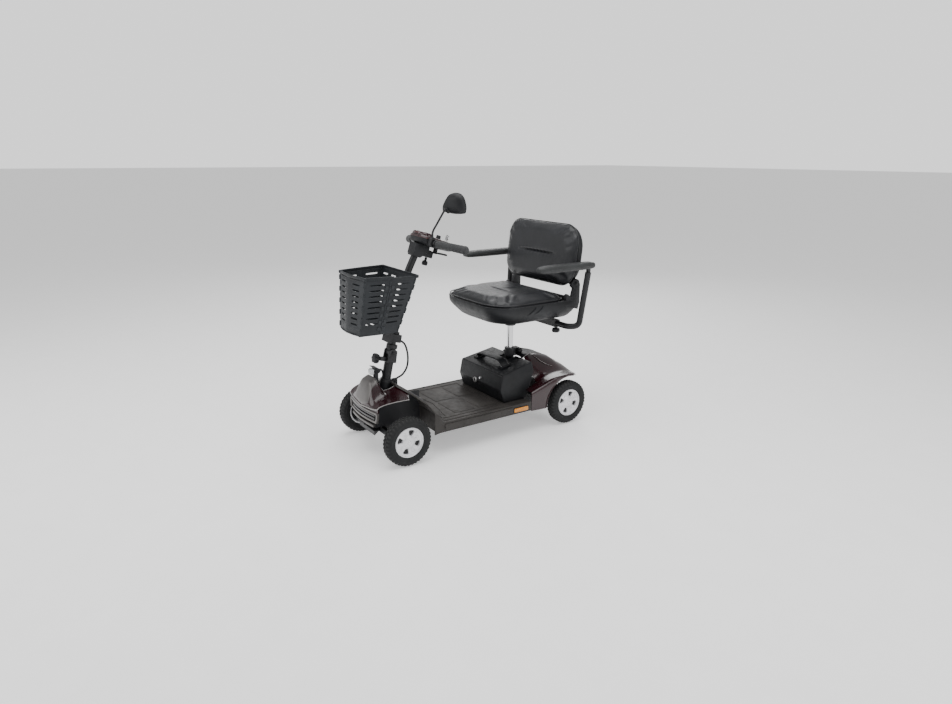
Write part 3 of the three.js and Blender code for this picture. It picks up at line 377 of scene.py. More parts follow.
def prism(name, outline, low, high, axis="x", at=CHASSIS):
    """An outline in (y, z), (x, z) or (x, y), drawn out along x, y or z."""
    first, second, third = AXES[axis]
    points = []
    for level in (low, high):
        for u, v in outline:
            point = [0, 0, 0]
            point[first], point[second], point[third] = u, v, level
            points.append(point)
    n = len(outline)
    sides = [(i, (i + 1) % n, n + (i + 1) % n, n + i) for i in range(n)]
    return make(name, points, [tuple(range(n)), tuple(range(2 * n - 1, n - 1, -1)), *sides], at)


def lathe(name, profile, centre=(0, 0, 0), axis="x", sides=64, at=CHASSIS, closed=True, grow=None):
    """A profile of (radius, height) turned round an axis; grow may change the radius."""
    first, second, third = AXES[axis]
    points = []
    for i in range(sides):
        angle = 2 * math.pi * i / sides
        for radius, height in profile:
            r = grow(angle, radius, height) if grow else radius
            point = [0, 0, 0]
            point[first], point[second], point[third] = r * math.cos(angle), r * math.sin(angle), height
            points.append([point[k] + centre[k] for k in range(3)])
    n = len(profile)
    spans = n if closed else n - 1
    faces = []
    for i in range(sides):
        a, b = i * n, ((i + 1) % sides) * n
        faces += [(a + k, a + (k + 1) % n, b + (k + 1) % n, b + k) for k in range(spans)]
    return make(name, points, faces, at)


def plug(name, radius, low, high, centre=(0, 0, 0), axis="x", sides=64, at=CHASSIS):
    """A plain turned cylinder."""
    return lathe(name, [(0.01, low), (radius, low), (radius, high), (0.01, high)], centre, axis, sides, at)


def loft(name, rings, at=CHASSIS, caps=True):
    n = len(rings[0])
    points = [p for ring in rings for p in ring]
    faces = []
    for r in range(len(rings) - 1):
        for i in range(n):
            a, b = r * n + i, r * n + (i + 1) % n
            faces.append((a, b, b + n, a + n))
    if caps:
        last = (len(rings) - 1) * n
        faces += [tuple(range(n - 1, -1, -1)), tuple(range(last, last + n))]
    return make(name, points, faces, at)


def circle(radius, count=20, squash=1.0):
    return [(radius * math.cos(2 * math.pi * i / count),
             squash * radius * math.sin(2 * math.pi * i / count))
            for i in range(count)]


def box_section(half_u, half_v, radius, steps=3):
    points = []
    for quarter, (su, sv) in enumerate([(1, 1), (-1, 1), (-1, -1), (1, -1)]):
        for i in range(steps + 1):
            angle = (quarter + i / steps) * math.pi / 2
            points.append((su * (half_u - radius) + radius * math.cos(angle),
                           sv * (half_v - radius) + radius * math.sin(angle)))
    return points


def sweep(name, path, section, at=CHASSIS, side=(1, 0, 0), scale=None, closed=False):
    """A section of (across, up) points carried along a path; side is the section's first across direction."""
    path = [Vector(p) for p in path]
    count = len(path)
    across = Vector(side)
    rings = []
    for i, centre in enumerate(path):
        ahead = path[(i + 1) % count] if closed else path[min(i + 1, count - 1)]
        behind = path[i - 1] if closed or i else path[0]
        along = (ahead - behind).normalized()
        across = (across - along * across.dot(along)).normalized()
        up = along.cross(across)
        grow = scale(i / (count - 1)) if scale else 1
        rings.append([tuple(centre + across * (u * grow) + up * (v * grow)) for u, v in section])
    if closed:
        rings.append(rings[0])
    return loft(name, rings, at, caps=not closed)


def bent(corners, bend, steps=8):
    """The corners' line with each inner corner rounded."""
    corners = [Vector(p) for p in corners]
    points = [corners[0]]
    for before, corner, after in zip(corners, corners[1:], corners[2:]):
        enter = corner + (before - corner).normalized() * bend
        leave = corner + (after - corner).normalized() * bend
        for k in range(steps + 1):
            t = k / steps
            points.append(enter * (1 - t) ** 2 + corner * (2 * t * (1 - t)) + leave * t ** 2)
    return points + [corners[-1]]


def spline(points, per_span=8):
    """A smooth curve through the points."""
    points = [Vector(p) for p in points]
    padded = [points[0] * 2 - points[1], *points, points[-1] * 2 - points[-2]]
    out = []
    for a, b, c, d in zip(padded, padded[1:], padded[2:], padded[3:]):
        for k in range(per_span):
            t = k / per_span
            out.append((b * 2 + (c - a) * t + (a * 2 - b * 5 + c * 4 - d) * t ** 2
                        + (b * 3 - a - c * 3 + d) * t ** 3) / 2)
    return out + [points[-1]]


def smooth(low, high, value):
    t = min(max((value - low) / (high - low), 0), 1)
    return t * t * (3 - 2 * t)


def eased(pairs, position):
    """A soft curve through (position, value) pairs."""
    p = min(max(position, pairs[0][0]), pairs[-1][0])
    i = max(1, next(k for k, pair in enumerate(pairs) if pair[0] >= p))
    slopes = []
    for k in range(len(pairs)):
        a, b = pairs[max(k - 1, 0)], pairs[min(k + 1, len(pairs) - 1)]
        slopes.append((b[1] - a[1]) / (b[0] - a[0]))
    (x0, y0), (x1, y1) = pairs[i - 1], pairs[i]
    span = x1 - x0
    t = (p - x0) / span
    return ((2 * t ** 3 - 3 * t ** 2 + 1) * y0 + (t ** 3 - 2 * t ** 2 + t) * span * slopes[i - 1]
            + (3 * t ** 2 - 2 * t ** 3) * y1 + (t ** 3 - t ** 2) * span * slopes[i])


def sheet_surface(name, place, columns, rows, at=CHASSIS):
    """A grid over u in -1..1 and v in 0..1."""
    points = [place(2 * c / columns - 1, r / rows) for r in range(rows + 1) for c in range(columns + 1)]
    faces = [(r * (columns + 1) + c, r * (columns + 1) + c + 1, (r + 1) * (columns + 1) + c + 1,
              (r + 1) * (columns + 1) + c)
             for r in range(rows) for c in range(columns)]
    return make(name, points, faces, at)


def lobed_knob(name, profile, centre, axis, at, lobes=6, depth=0.09):
    def grow(angle, radius, height):
        return radius * (1 - depth + depth * math.cos(lobes * angle))
    return rounded(lathe(name, profile, centre, axis, 48, at, closed=False, grow=grow), 1.2, 3, 40)


def stud(name, centre, axis, radius, height, at=CHASSIS):
    """A domed bolt head on a washer; height may point either way."""
    s = 1 if height > 0 else -1
    h = abs(height)
    profile = [(0, h), (radius * 0.5, h * 0.96), (radius * 0.78, h * 0.7), (radius * 0.8, h * 0.25),
               (radius, h * 0.22), (radius, 0), (0, 0)]
    return lathe(name, [(r, s * z) for r, z in profile], centre, axis, 24, at, closed=False)

# ---------------------------------------------------------------- the cable loop, first of the pieces


def tiller_cable():
    route = spline([
        (0, -332, 449), (0, -316, 444.7), (0, -298, 424), (0, -288, 380), (0, -292, 334), (0, -314, 302),
        (0, -343, 288.5), (0, -355.2, 270.2)], 6)
    cable = sweep("cable_loop", route, circle(4.2, 16))
    cable.data.materials.append(finish["cable_rubber"])
    shade(cable)
    path = [CHASSIS @ p for p in route]
    length = sum((b - a).length for a, b in zip(path, path[1:]))
    tuple(path[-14])
    tuple(path[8])
    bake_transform(cable)
    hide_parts("tiller_cable")
    tuple(path[0])


tiller_cable()

# ---------------------------------------------------------------- wheels

TREAD_PITCHES = 38
TREAD_DEPTH = 2.6


def tyre_mesh(name, centre):
    half = [(62.4, 19, 0), (65, 21.5, 0), (71, 24, 0), (79, 24.6, 0), (80, 25.2, 0), (82, 25.2, 0),
            (83, 24.4, 0),
            (87.2, 23.8, 0), (87.8, 23.6, 1), (91, 22.6, 1), (94.4, 19.6, 1), (96.4, 15.6, 1),
            (97.1, 13, 1),
            (97.1, 12.4, 0), (97.3, 11, 0), (97.3, 10.4, 2), (97.4, 6.5, 2), (97.4, 3, 2), (97.4, 2.4, 0)]
    profile = half + [(r, -x, {0: 0, 1: 2, 2: 1}[block]) for r, x, block in reversed(half)]
    columns = [(0.00, 0, 0), (0.06, 1, 0), (0.40, 1, 0), (0.46, 0, 0), (0.53, 0, 1), (0.93, 0, 1)]
    points = []
    for pitch in range(TREAD_PITCHES):
        for share, first, second in columns:
            angle = 2 * math.pi * (pitch + share) / TREAD_PITCHES
            for r, x, block in profile:
                r += TREAD_DEPTH * (block == 1 and first or block == 2 and second or 0)
                points.append((centre[0] + x, centre[1] + r * math.cos(angle),
                               centre[2] + r * math.sin(angle)))
    n, rings = len(profile), TREAD_PITCHES * len(columns)
    faces = [(i * n + k, i * n + (k + 1) % n, ((i + 1) % rings) * n + (k + 1) % n,
              ((i + 1) % rings) * n + k)
             for i in range(rings) for k in range(n)]
    return make(name, points, faces)


def rim_face_height(radius):
    return 17.5 - 5 * smooth(20, 34, radius) + 3 * smooth(45, 54, radius)


def rim_mesh(name, centre, side):
    """A cast rim: barrel, hub, four openings through the face and four shallow dimples between them."""
    def turned(label, profile, sides=72):
        return lathe(label, [(r, side * x) for r, x in profile], centre, "x", sides)
    barrel = turned("barrel",
                    [(62, 18.4), (61.2, 20.4), (59.4, 20.8), (57.6, 19.6), (56, 16.5), (54.6, 12),
                     (54, -12),
                               (57, -18.4), (62, -18.4), (62, -10), (60, 0), (62, 10)])
    hub = turned("hub",
                 [(0.01, 20), (7.4, 20), (8.2, 18.9), (9.2, 18.7), (18.6, 18.5), (20.8, 17.4), (24.8, 15.6),
                         (24.8, 6), (20, 2), (20, -15.6), (9, -15.6), (9, 11.4), (0.01, 11.4)], 48)
    points, faces = [], []
    count = 32
    directions = [2 * math.pi * k / count for k in range(count)]

    def ring(inner, outer, half_inner, half_outer, middle, drop, roundness):
        start = len(points)
        for angle in directions:
            c, s = math.cos(angle), math.sin(angle)
            reach = (abs(c) ** roundness + abs(s) ** roundness) ** (-1 / roundness)
            u, v = c * reach, s * reach
            radius = (inner + outer) / 2 + v * (outer - inner) / 2
            half = half_inner + (half_outer - half_inner) * (v + 1) / 2
            turn = middle + u * half
            height = side * (rim_face_height(radius) - drop)
            points.append((centre[0] + height, centre[1] + radius * math.cos(turn),
                           centre[2] + radius * math.sin(turn)))
        return start

    def bridge(a, b):
        faces.extend((a + k, a + (k + 1) % count, b + (k + 1) % count, b + k) for k in range(count))

    for sector in range(8):
        middle = sector * math.pi / 4 + math.radians(27)
        through = sector % 2 == 1
        shape = (28, 50.5, 0.24, 0.30) if through else (33, 46.5, 0.12, 0.17)
        wide = (shape[0] - 1.8, shape[1] + 1.8, shape[2] + 0.045, shape[3] + 0.04)
        edge = ring(23, 56, math.pi / 8, math.pi / 8, middle, 0, 400)
        shoulder = ring(*wide, middle, 0, 5)
        lip = ring(*shape, middle, 1.0, 5)
        bridge(edge, shoulder)
        bridge(shoulder, lip)
        if through:
            wall = ring(*shape, middle, 9, 5)
            back = ring(23, 56, math.pi / 8, math.pi / 8, middle, 9, 400)
            bridge(lip, wall)
            bridge(wall, back)
        else:
            floor = ring(shape[0] + 1.5, shape[1] - 1.5, shape[2] - 0.03, shape[3] - 0.03, middle, 3.0, 4)
            bridge(lip, floor)
            faces.append(tuple(range(floor, floor + count)))
            back = ring(23, 56, math.pi / 8, math.pi / 8, middle, 9, 400)
            faces.append(tuple(range(back + count - 1, back - 1, -1)))
    face = make("face", points, faces)
    valve = sweep("valve", [(centre[0] + side * 12, centre[1] + 36, centre[2] + 36),
                            (centre[0] + side * 19, centre[1] + 35, centre[2] + 35)], circle(2.4, 10))
    return join(name, barrel, hub, face, valve)


def wheels():
    for end, y in (("front", -AXLE_Y), ("rear", AXLE_Y)):
        for label, side in (("left", 1), ("right", -1)):
            centre = (side * 212, y, WHEEL_RADIUS)
            body = f"{end}_{label}_wheel"
            dress(tyre_mesh(f"{end}_{label}_tread", centre), "tyre", body, [f"{end}_{label}_tyre"],
                  degrees=25)
            dress(rim_mesh(f"{end}_{label}_alloy", centre, side), "rim", body, [f"{end}_{label}_rim"])
            cap = lathe(f"{end}_{label}_hub_cap",
                        [(0.01, side * 21.4), (4.5, side * 21.2), (6.6, side * 20.2),
                                                   (6.8, side * 19.4), (0.01, side * 19.4)], centre, "x",
                                                   32)
            dress(cap, "chrome", body)
            drum = lathe(f"{end}_{label}_drum",
                         [(25, side * 5), (53.8, side * 5), (53.8, side * 3), (25, side * 3)], centre, "x",
                         48)
            dress(drum, "tyre", body)


wheels()

# ---------------------------------------------------------------- front bodywork


def nose_height(x, y):
    u = abs(x)
    front = eased([(0, 208), (60, 211), (125, 222), (170, 228)], u)
    rear = eased([(0, 281), (45, 280), (120, 260), (170, 250)], u)
    front_y = eased([(0, -511), (60, -507), (125, -497)], u)
    rise = min(max((y - front_y) / (-370 - front_y), 0), 1)
    cowl = 66 * math.exp(-((x / 70) ** 4)) * smooth(-515, -478, y) * (1 - smooth(-458, -425, y))
    return front + (rear - front) * math.sqrt(rise) + cowl


def nose_place(u, v):
    x = u * (125 + 36 * v ** 0.8)
    front_y = eased([(0, -511), (60, -507), (125, -497)], abs(x))
    rear_y = eased([(0, -386), (45, -386), (90, -366), (120, -357), (165, -374)], abs(x))
    y = front_y + (rear_y - front_y) * v
    return x, y, nose_height(x, y)


def front_shroud():
    skin = thicken(sheet_surface("nose_skin", nose_place, 64, 48), 4)
    well = prism("well", [(-42, -433), (42, -433), (53, -402), (45, -340), (-45, -340), (-53, -402)], 150,
                 400, "z")
    carve(skin, rounded(well, 7, 4))
    rim = [nose_place(u / 20, 0) for u in range(-20, 21)]
    drop = [(x, y, z - k) for k in (0, 9, 17) for x, y, z in rim]
    skirt = thicken(make("skirt", drop, [(r * 41 + i, r * 41 + i + 1, (r + 1) * 41 + i + 1,
                                          (r + 1) * 41 + i)
                                         for r in range(2) for i in range(40)]), 3.5)
    skirt.data.transform(Matrix.Translation((0, 0.004, -0.002)))
    shell = join("front_bonnet", rounded(skin, 0.8, 2, 50), skirt)
    dress(shell, "maroon_gloss", "chassis", ["front_shroud"])
    sides = []
    for s in (1, -1):
        path = [Vector(nose_place(s, v / 16)) + Vector((s * 0.6, 0, -1.5)) for v in range(17)]
        sides.append(sweep("side_trim", path, box_section(1.6, 2.6, 1.2), side=(0, 0, 1)))
    front = [Vector(p) + Vector((0, -1.2, -1.5)) for p in rim]
    sides.append(sweep("front_trim", front, box_section(2.4, 1.8, 1.2), side=(0, 0, 1)))
    loop = bent([(x, y, 0) for x, y in [(-46, -366), (-54, -402), (-43, -434), (43, -434), (54, -402),
                                        (46, -366)]], 9)
    sides.append(sweep("well_trim", [(p.x, p.y, nose_height(p.x, p.y) + 0.6) for p in loop],
                       circle(1.5, 10), side=(0, 0, 1)))
    dress(join("bonnet_trim", *sides), "silver_trim", "chassis")

    def cap_place(u, v):
        x = u * (60 - 16 * v)
        y = -511 + 0.6 + (72 * v) + 7 * (x / 60) ** 2
        return x, y, nose_height(x, y) + 1.0
    cap = thicken(sheet_surface("cowl_cap", cap_place, 32, 32), 1.6)
    dress(rounded(cap, 0.4, 2, 50), pewter, "chassis")
    shade_walls_under_bonnet()


# Placement of the dark walls that paint the shade under the bonnet.
SHADE_WALL_X, SHADE_WALL_FRONT, SHADE_WALL_FLOOR, SHADE_WALL_PITCH, SHADE_WALL_COUNT = 96, -492, 134, 8.4, 24


def shade_walls_under_bonnet():
    """Dark walls under the bonnet's sides, between the frame and the front wheels: painted shade, dark sheets
    standing where the inside of the nose is only in shadow.
    """
    count = SHADE_WALL_COUNT + 1
    faces = [(k, k + 1, count + k + 1, count + k) for k in range(SHADE_WALL_COUNT)]
    for s in (1, -1):
        x = s * SHADE_WALL_X
        line = [SHADE_WALL_FRONT + SHADE_WALL_PITCH * k for k in range(count)]
        low = [(x, y, SHADE_WALL_FLOOR) for y in line]
        high = [(x, y, min(nose_height(x, y), nose_height(s * 110, y)) - 5) for y in line]
        dress(thicken(make(f"bonnet_shade_wall_{s + 1}", low + high, faces), 1.5), "black_plastic", "chassis")


def bow(reach, inset, z, count=24):
    return [(x, -511 + inset + 14 * (abs(x) / 124) ** 1.75, z)
            for x in (reach * (2 * k / count - 1) for k in range(count + 1))]


def fascia():
    """The silver nose ring with its dark vents, two slats and the bumper bar under it."""
    bars = []
    for z, high, inset, reach in ((199.5, 4.8, 2, 124), (162.5, 5.2, 3, 117)):
        bars.append(sweep("bar", bow(reach, inset + 3, z), box_section(5.5, high, 2.4), side=(0, 1, 0)))
    for s in (1, -1):
        bars.append(sweep("end", bent([(s * 121, -494, 200), (s * 120.5, -494, 182), (s * 115, -496, 162)],
                                      5),
                          box_section(6, 4.5, 2.4), side=(0, 1, 0)))
    bars.append(sweep("bumper", bow(96, 6, 143), box_section(6, 6, 3), side=(0, 1, 0)))
    bars.append(sweep("bumper_lip", bow(90, 2.5, 147), box_section(3, 1.6, 1.2), side=(0, 1, 0)))
    dress(join("nose_ring", *bars), pewter, "chassis", ["front_fascia"])
    slats = []
    for z, high, reach in ((188.5, 4.0, 104), (174.5, 4.6, 100)):
        slats.append(sweep("slat", bow(reach, 7, z), box_section(4, high, 2), side=(0, 1, 0)))
    dress(join("nose_slats", *slats), recess_grey, "chassis")
    back = sweep("nose_vent", bow(117, 14, 181), box_section(2, 19, 1.2), side=(0, 1, 0))
    link = sweep("link", bow(86, 14, 154), box_section(3, 7, 1.2), side=(0, 1, 0))
    notch = sweep("notch", bow(30, 0.6, 134, 8), box_section(2, 5, 1.4), side=(0, 1, 0))
    dress(join("nose_backing", back, link, notch), "black_plastic", "chassis")
    for s in (1, -1):
        dress(stud(f"nose_bolt_{s + 1}", (s * 88, -496, 140), "y", 4, -3.4), "frame", "chassis")


def headlight():
    def face(y, half_x, low, high, radius):
        middle = (low + high) / 2
        return [(u, y, middle + v) for u, v in box_section(half_x, (high - low) / 2, radius, 5)]
    lens = loft("lamp_glass",
                [face(-447.5, 15, 328, 350, 5), face(-456, 15.6, 326.5, 351, 6),
                 face(-461, 14.8, 326.5, 350.6, 6),
                               face(-465, 12, 329, 348.5, 6), face(-467, 7, 333, 344.5, 4)])
    dress(subdivided(lens), "clear_lens", "chassis", ["headlight_lens"])
    flutes = [sweep("flute", [(x, -448 - 16.5 * math.sqrt(max(0, 1 - (x / 17) ** 2)), 330 + k)
                              for k in range(0, 18, 3)], circle(0.7, 8)) for x in range(-12, 13, 4)]
    dress(join("lamp_flutes", *flutes), "clear_lens", "chassis")
    visor = prism("visor",
                  [(-446, 331), (-428, 331), (-420, 342), (-436, 356), (-456, 360), (-456, 357.5),
                   (-446, 353)],
                  -18, 18)
    neck = prism("neck", [(-445, 288), (-430, 288), (-428, 336), (-446, 336)], -9, 9)
    conduit = sweep("conduit", bent([(0, -424, 343), (0, -408, 338), (0, -402, 300), (0, -398, 262)], 9),
                    circle(3.6, 12))
    dress(join("lamp_visor", rounded(visor, 2.2, 3), rounded(neck, 1.6, 2), conduit), "black_plastic",
          "chassis",
          ["headlight_housing"])


def column_cover():
    def ring(grow, z):
        outline = [(-43, -433), (43, -433), (53, -402), (46, -388), (-46, -388), (-53, -402)]
        corners = bent([(x * grow, -410 + (y + 410) * grow, z) for x, y in outline + outline[:2]], 7 * grow,
                       3)
        return [tuple(p) for p in corners[1:-1]][:24]
    dish = loft("well_dish",
                [ring(0.3, 232), ring(0.55, 230), ring(0.8, 238), ring(0.97, 250), ring(0.98, 262)],
                caps=False)
    thicken(dish, 1.5)
    dress(dish, recess_grey, "chassis", ["column_cover"])
    boot = lathe("column_boot",
                 [(15.8, 118), (15.8, 196), (22, 196), (24.4, 190), (23, 182), (25.4, 174), (24.4, 164),
                                 (27, 150), (28.5, 138), (30, 120)], (0, 0, 0), "z", 40, COLUMN)
    dress(boot, "black_plastic", "chassis")


front_shroud()
fascia()
headlight()
column_cover()

# ---------------------------------------------------------------- deck


def flat_rib(corners, z=140.0, wide=2.0, high=1.6):
    """A low moulded rib standing on the mat along straight runs."""
    pieces = []
    for a, b in zip(corners, corners[1:]):
        d = Vector((b[0] - a[0], b[1] - a[1]))
        n = Vector((-d.y, d.x)).normalized() * wide
        outline = [(a[0] + n.x, a[1] + n.y), (b[0] + n.x, b[1] + n.y), (b[0] - n.x, b[1] - n.y),
                   (a[0] - n.x, a[1] - n.y)]
        pieces.append(rounded(prism("rib", outline, z - 0.4, z + high, "z"), 0.7, 2))
    return pieces


def deck():
    front, rear, half = -237, 69, 197
    mat = prism("mat", [(half, front), (half, rear), (-half, rear), (-half, front)], 139.9, 142.2, "z")
    pads = []
    for x0, x1, y0, y1 in ((-150, -10, -150, -52), (10, 150, -150, -52), (-150, -10, -32, 50),
                           (10, 150, -32, 50)):
        pad = prism("pad", [(x0, y0), (x1, y0), (x1, y1), (x0, y1)], 142.0, 143.6, "z")
        pads.append(rounded(pad, 1.4, 3))
    ribs = flat_rib([(-172, front + 14), (172, front + 14), (172, rear - 8), (-172, rear - 8),
                     (-172, front + 14)], 142.2)
    ribs += flat_rib([(-150, -200), (0, -170), (150, -200)], 142.2)
    ribs += flat_rib([(-150, -222), (-60, -172)], 142.2) + flat_rib([(150, -222), (60, -172)], 142.2)
    for x in range(-180, 181, 24):
        ribs += flat_rib([(x, -233), (x + 8, -226)], 142.2, 1.2, 1.0)
    dress(join("deck_mat", rounded(mat, 1.2, 3), *pads, *ribs), "deck_rubber", "chassis")

    line = spline([(0, -243, 142), (0, -260, 158), (0, -283, 190), (0, -306, 228), (0, -341, 259),
                   (0, -372, 281)], 6)
    for_half = [(0, 205), (0.25, 203), (0.45, 196), (0.62, 170), (0.8, 116), (1, 44)]

    def ramp_place(u, v):
        p = line[round(v * (len(line) - 1))]
        return u * (eased(for_half, v)), p.y, p.z + 2.2
    climb = thicken(sheet_surface("ramp_mat", ramp_place, 24, len(line) - 1), 2)
    notch = plug("notch", 28, 90, 300, (0, 0, 0), "z", 40, COLUMN)
    carve(climb, notch)
    dress(rounded(climb, 0.7, 2, 50), "deck_rubber", "chassis")
    # Lighter grey strips along the ramp's side edges: a painted highlight standing in for the shine on the
    # gloss bevel of those edges.
    highlight_strips = []
    for s in (1, -1):
        edge = [Vector(ramp_place(s, v / 20)) + Vector((s * 1.5, -1, 0)) for v in range(21)]
        highlight_strips.append(sweep("ramp_highlight_strip", edge, box_section(2.4, 2.0, 1.4), side=(0, 0, 1)))
    dress(join("ramp_painted_highlight", *highlight_strips), recess_grey, "chassis")

    bars = []
    for s in (1, -1):
        outline = [(-240, 133), (-240, 110), (100, 110), (106, 113), (106, 131), (100, 134)]
        bar = prism("side_bar", outline, s * 215.2 if s > 0 else -218.6, 218.6 if s > 0 else -215.2)
        lip = sweep("lip", [(s * 213.6, -244, 139.6), (s * 213.6, 203, 139.6)], box_section(2.6, 2.2, 1.4),
                    side=(0, 0, 1))
        seam = [rounded(prism("seam", [(y, 109), (y + 3, 109), (y + 3, 135), (y, 135)],
                              s * 219.2 if s < 0 else 215.2,
                              -215.2 if s < 0 else 219.2), 0.4, 1) for y in (-120, 40)]
        bars += [rounded(bar, 1.2, 3), lip, *seam]
    dress(join("side_bars", *bars), "deck_rubber", "chassis")


def reflectors():
    for label, s in (("left", 1), ("right", -1)):
        outline = [(147.5 + u, 118 + v) for u, v in box_section(37.5, 9, 4, 4)]
        lens = rounded(prism(f"amber_{label}", outline, min(s * 215.6, s * 219.8),
                             max(s * 215.6, s * 219.8)), 0.8, 3)
        dress(lens, "amber", "chassis", [f"reflector_{label}"])
        rim = [(s * 216.6, 147.5 + u, 118 + v) for u, v in box_section(39, 10.2, 5, 5)]
        dress(sweep(f"reflector_rim_{label}", rim, circle(1.3, 8), closed=True), "black_plastic", "chassis")


deck()
reflectors()

# ---------------------------------------------------------------- rear bodywork

REAR_RIDGE = [(207, 250), (262, 304), (320, 305), (360, 298), (420, 278), (451, 258), (486, 238)]
REAR_SIDE = [(207, 184), (260, 204), (324, 226), (400, 232), (451, 227), (486, 216)]


def tail_height(x, y):
    ridge, side = eased(REAR_RIDGE, y), eased(REAR_SIDE, y)
    return side + (ridge - side) * (1 - smooth(55, 172, abs(x)))


def tail_half(y):
    return eased([(207, 216), (300, 224), (440, 224), (486, 190)], y)


def rear_shroud():
    rows = 44

    def place(u, v):
        y = 207 + (486 - 207) * v
        half = tail_half(y)
        if abs(u) <= 0.82:
            x = u / 0.82 * (half - 5)
            return x, y, tail_height(x, y)
        down = (abs(u) - 0.82) / 0.18
        bottom = 96
        top = tail_height(half - 5, y)
        x = half - 5 * (1 - min(1, down * 5)) ** 2
        return math.copysign(x, u), y, top - (top - bottom) * down
    skin = thicken(sheet_surface("tail_skin", place, 80, rows), 4)
    pocket = prism("pocket", [(190, 80), (270, 80), (270, 340), (190, 340)], -172, 172)
    tools = [pocket]
    for s in (1, -1):
        low, high = sorted((s * 120, s * 260))
        tools.append(plug("arch", 126, low, high, (0, AXLE_Y, WHEEL_RADIUS), "x", 72))
        tools.append(prism("behind", [(AXLE_Y, 60), (520, 60), (520, 206), (AXLE_Y, 206)], low, high))
    carve(skin, *tools)
    dress(rounded(skin, 0.9, 2, 50), "maroon_gloss", "chassis", ["rear_shroud"])

    lips = []
    for s in (1, -1):
        arc = [(s * 225, AXLE_Y + 126.6 * math.cos(a), WHEEL_RADIUS + 126.6 * math.sin(a))
               for a in (math.radians(78 + 102 * k / 30) for k in range(31))]
        lips.append(sweep("arch_lip", arc, circle(2.3, 10), side=(1, 0, 0)))
    dress(join("arch_lips", *lips), "maroon_gloss", "chassis")

    def strip(u, v):
        y = 256 + 222 * v
        x = u * (74 - 28 * smooth(0, 0.5, v))
        return x, y, tail_height(x, y) + 1.6
    band = thicken(sheet_surface("tail_strip", strip, 20, 30), 1.8)
    carve(band, plug("post_hole", 29, 200, 400, POST_AT, "z", 40))
    dress(rounded(band, 0.6, 2, 50), "black_plastic", "chassis")
    edges = []
    for s in (1, -1):
        path = [Vector(strip(s, v / 20)) + Vector((s * 1.2, 0, -0.4)) for v in range(21)]
        edges.append(sweep("strip_edge", path, circle(1.3, 8)))
    for s in (1, -1):
        path = [(s * x, y, tail_height(x, y) + 1.0)
                for x, y in ((70, 318), (88, 328), (104, 344), (118, 366), (128, 392))]
        edges.append(sweep("tail_flash", spline(path, 5), box_section(3.6, 1.0, 0.8), side=(1, 0, 0),
                           scale=lambda t: 0.35 + 0.65 * math.sin(math.pi * min(max(t, 0.06), 0.94))))
    dress(join("tail_trim", *edges), "silver_trim", "chassis")
    lamp = box_section(46, 8, 4, 4)
    tail_lamp = loft("tail_lamp",
                     [[(u, 486.2, 226 + v * 0.9) for u, v in lamp],
                      [(u * 0.98, 489, 226 + v * 0.88) for u, v in lamp],
                                   [(u * 0.93, 490.4, 226 + v * 0.7) for u, v in lamp]])
    dress(tail_lamp, red_lens, "chassis")


rear_shroud()

# ---------------------------------------------------------------- battery


def battery():
    profile = [(92, 140.4), (73, 200), (86, 266), (254, 300), (256, 262), (216, 140.4)]
    box = prism("battery_case", profile, -165, 165)
    cutters = [prism("shoulder", [(s * 170, 236), (s * 170, 330), (s * 146, 330), (s * 154, 292),
                                  (s * 165, 256)], 40, 300, "y")
               for s in (1, -1)]
    cutters.append(prism("post_notch", [(-32, 206), (32, 206), (32, 300), (-32, 300)], 130, 340, "z"))
    carve(box, *cutters)
    dress(rounded(box, 4.5, 4, 20), "black_plastic", "battery", ["battery_box"])
    rim = [(-158, 84.2, 262), (158, 84.2, 262)]
    dress(sweep("lid_bead", rim, circle(1.6, 10), side=(0, 0, 1)), "black_plastic", "battery")

    over = spline([(-112, 0, 1), (-104, 0, 14), (-84, 0, 25), (-30, 0, 30), (30, 0, 31.5), (64, 0, 28),
                   (84, 0, 16), (94, 0, 1)], 6)
    strap = sweep("carry_strap", over, box_section(3.0, 17, 2.2, 4), LID, side=(0, 0, 1))
    strap = join("battery_strap", strap, *[
        rounded(prism("anchor", [(x - 15, -27), (x + 15, -27), (x + 15, 27), (x - 15, 27)], 0.4, 6.5, "z",
                      LID), 2, 3)
        for x in (-104, 86)])
    dress(strap, "black_plastic", "battery", ["battery_handle"])
    for k, (x, y) in enumerate(((-104, 15), (-104, -15), (86, 15), (86, -15))):
        dress(stud(f"strap_bolt_{k}", (x, y, 6.2), "z", 4, 3, LID), "chrome", "battery")

    lean = Matrix.Translation((0, 73, 200)) @ Matrix.Rotation(math.radians(-11), 4, "X")
    face = CHASSIS @ lean
    port = lathe("port_ring",
                 [(0.01, -3), (11, -3), (12.4, 1), (12, -6), (8.4, -7.4), (7.6, -4), (0.01, -4)],
                 (-29, 1, 0), "y", 40, face)
    dress(port, "silver_trim", "battery")
    dress(lathe("port_core", [(0.01, -4.4), (6.8, -4.4), (6.8, -6), (2.4, -6), (2.2, -4.9), (0.01, -4.9)],
                (-29, 1, 0), "y", 32, face),
          "black_plastic", "battery")
    barrel = lathe("breaker",
                   [(0.01, 0), (7.2, 0), (7.2, -3), (5.4, -4.4), (5.2, -8.6), (4.2, -9.4), (0.01, -9.4)],
                   (7, 3.5, 17), "y", 32, face)
    dress(barrel, "chrome", "battery")


battery()

# ---------------------------------------------------------------- basket

BASKET_TOP, BASKET_BOTTOM = 738, 515


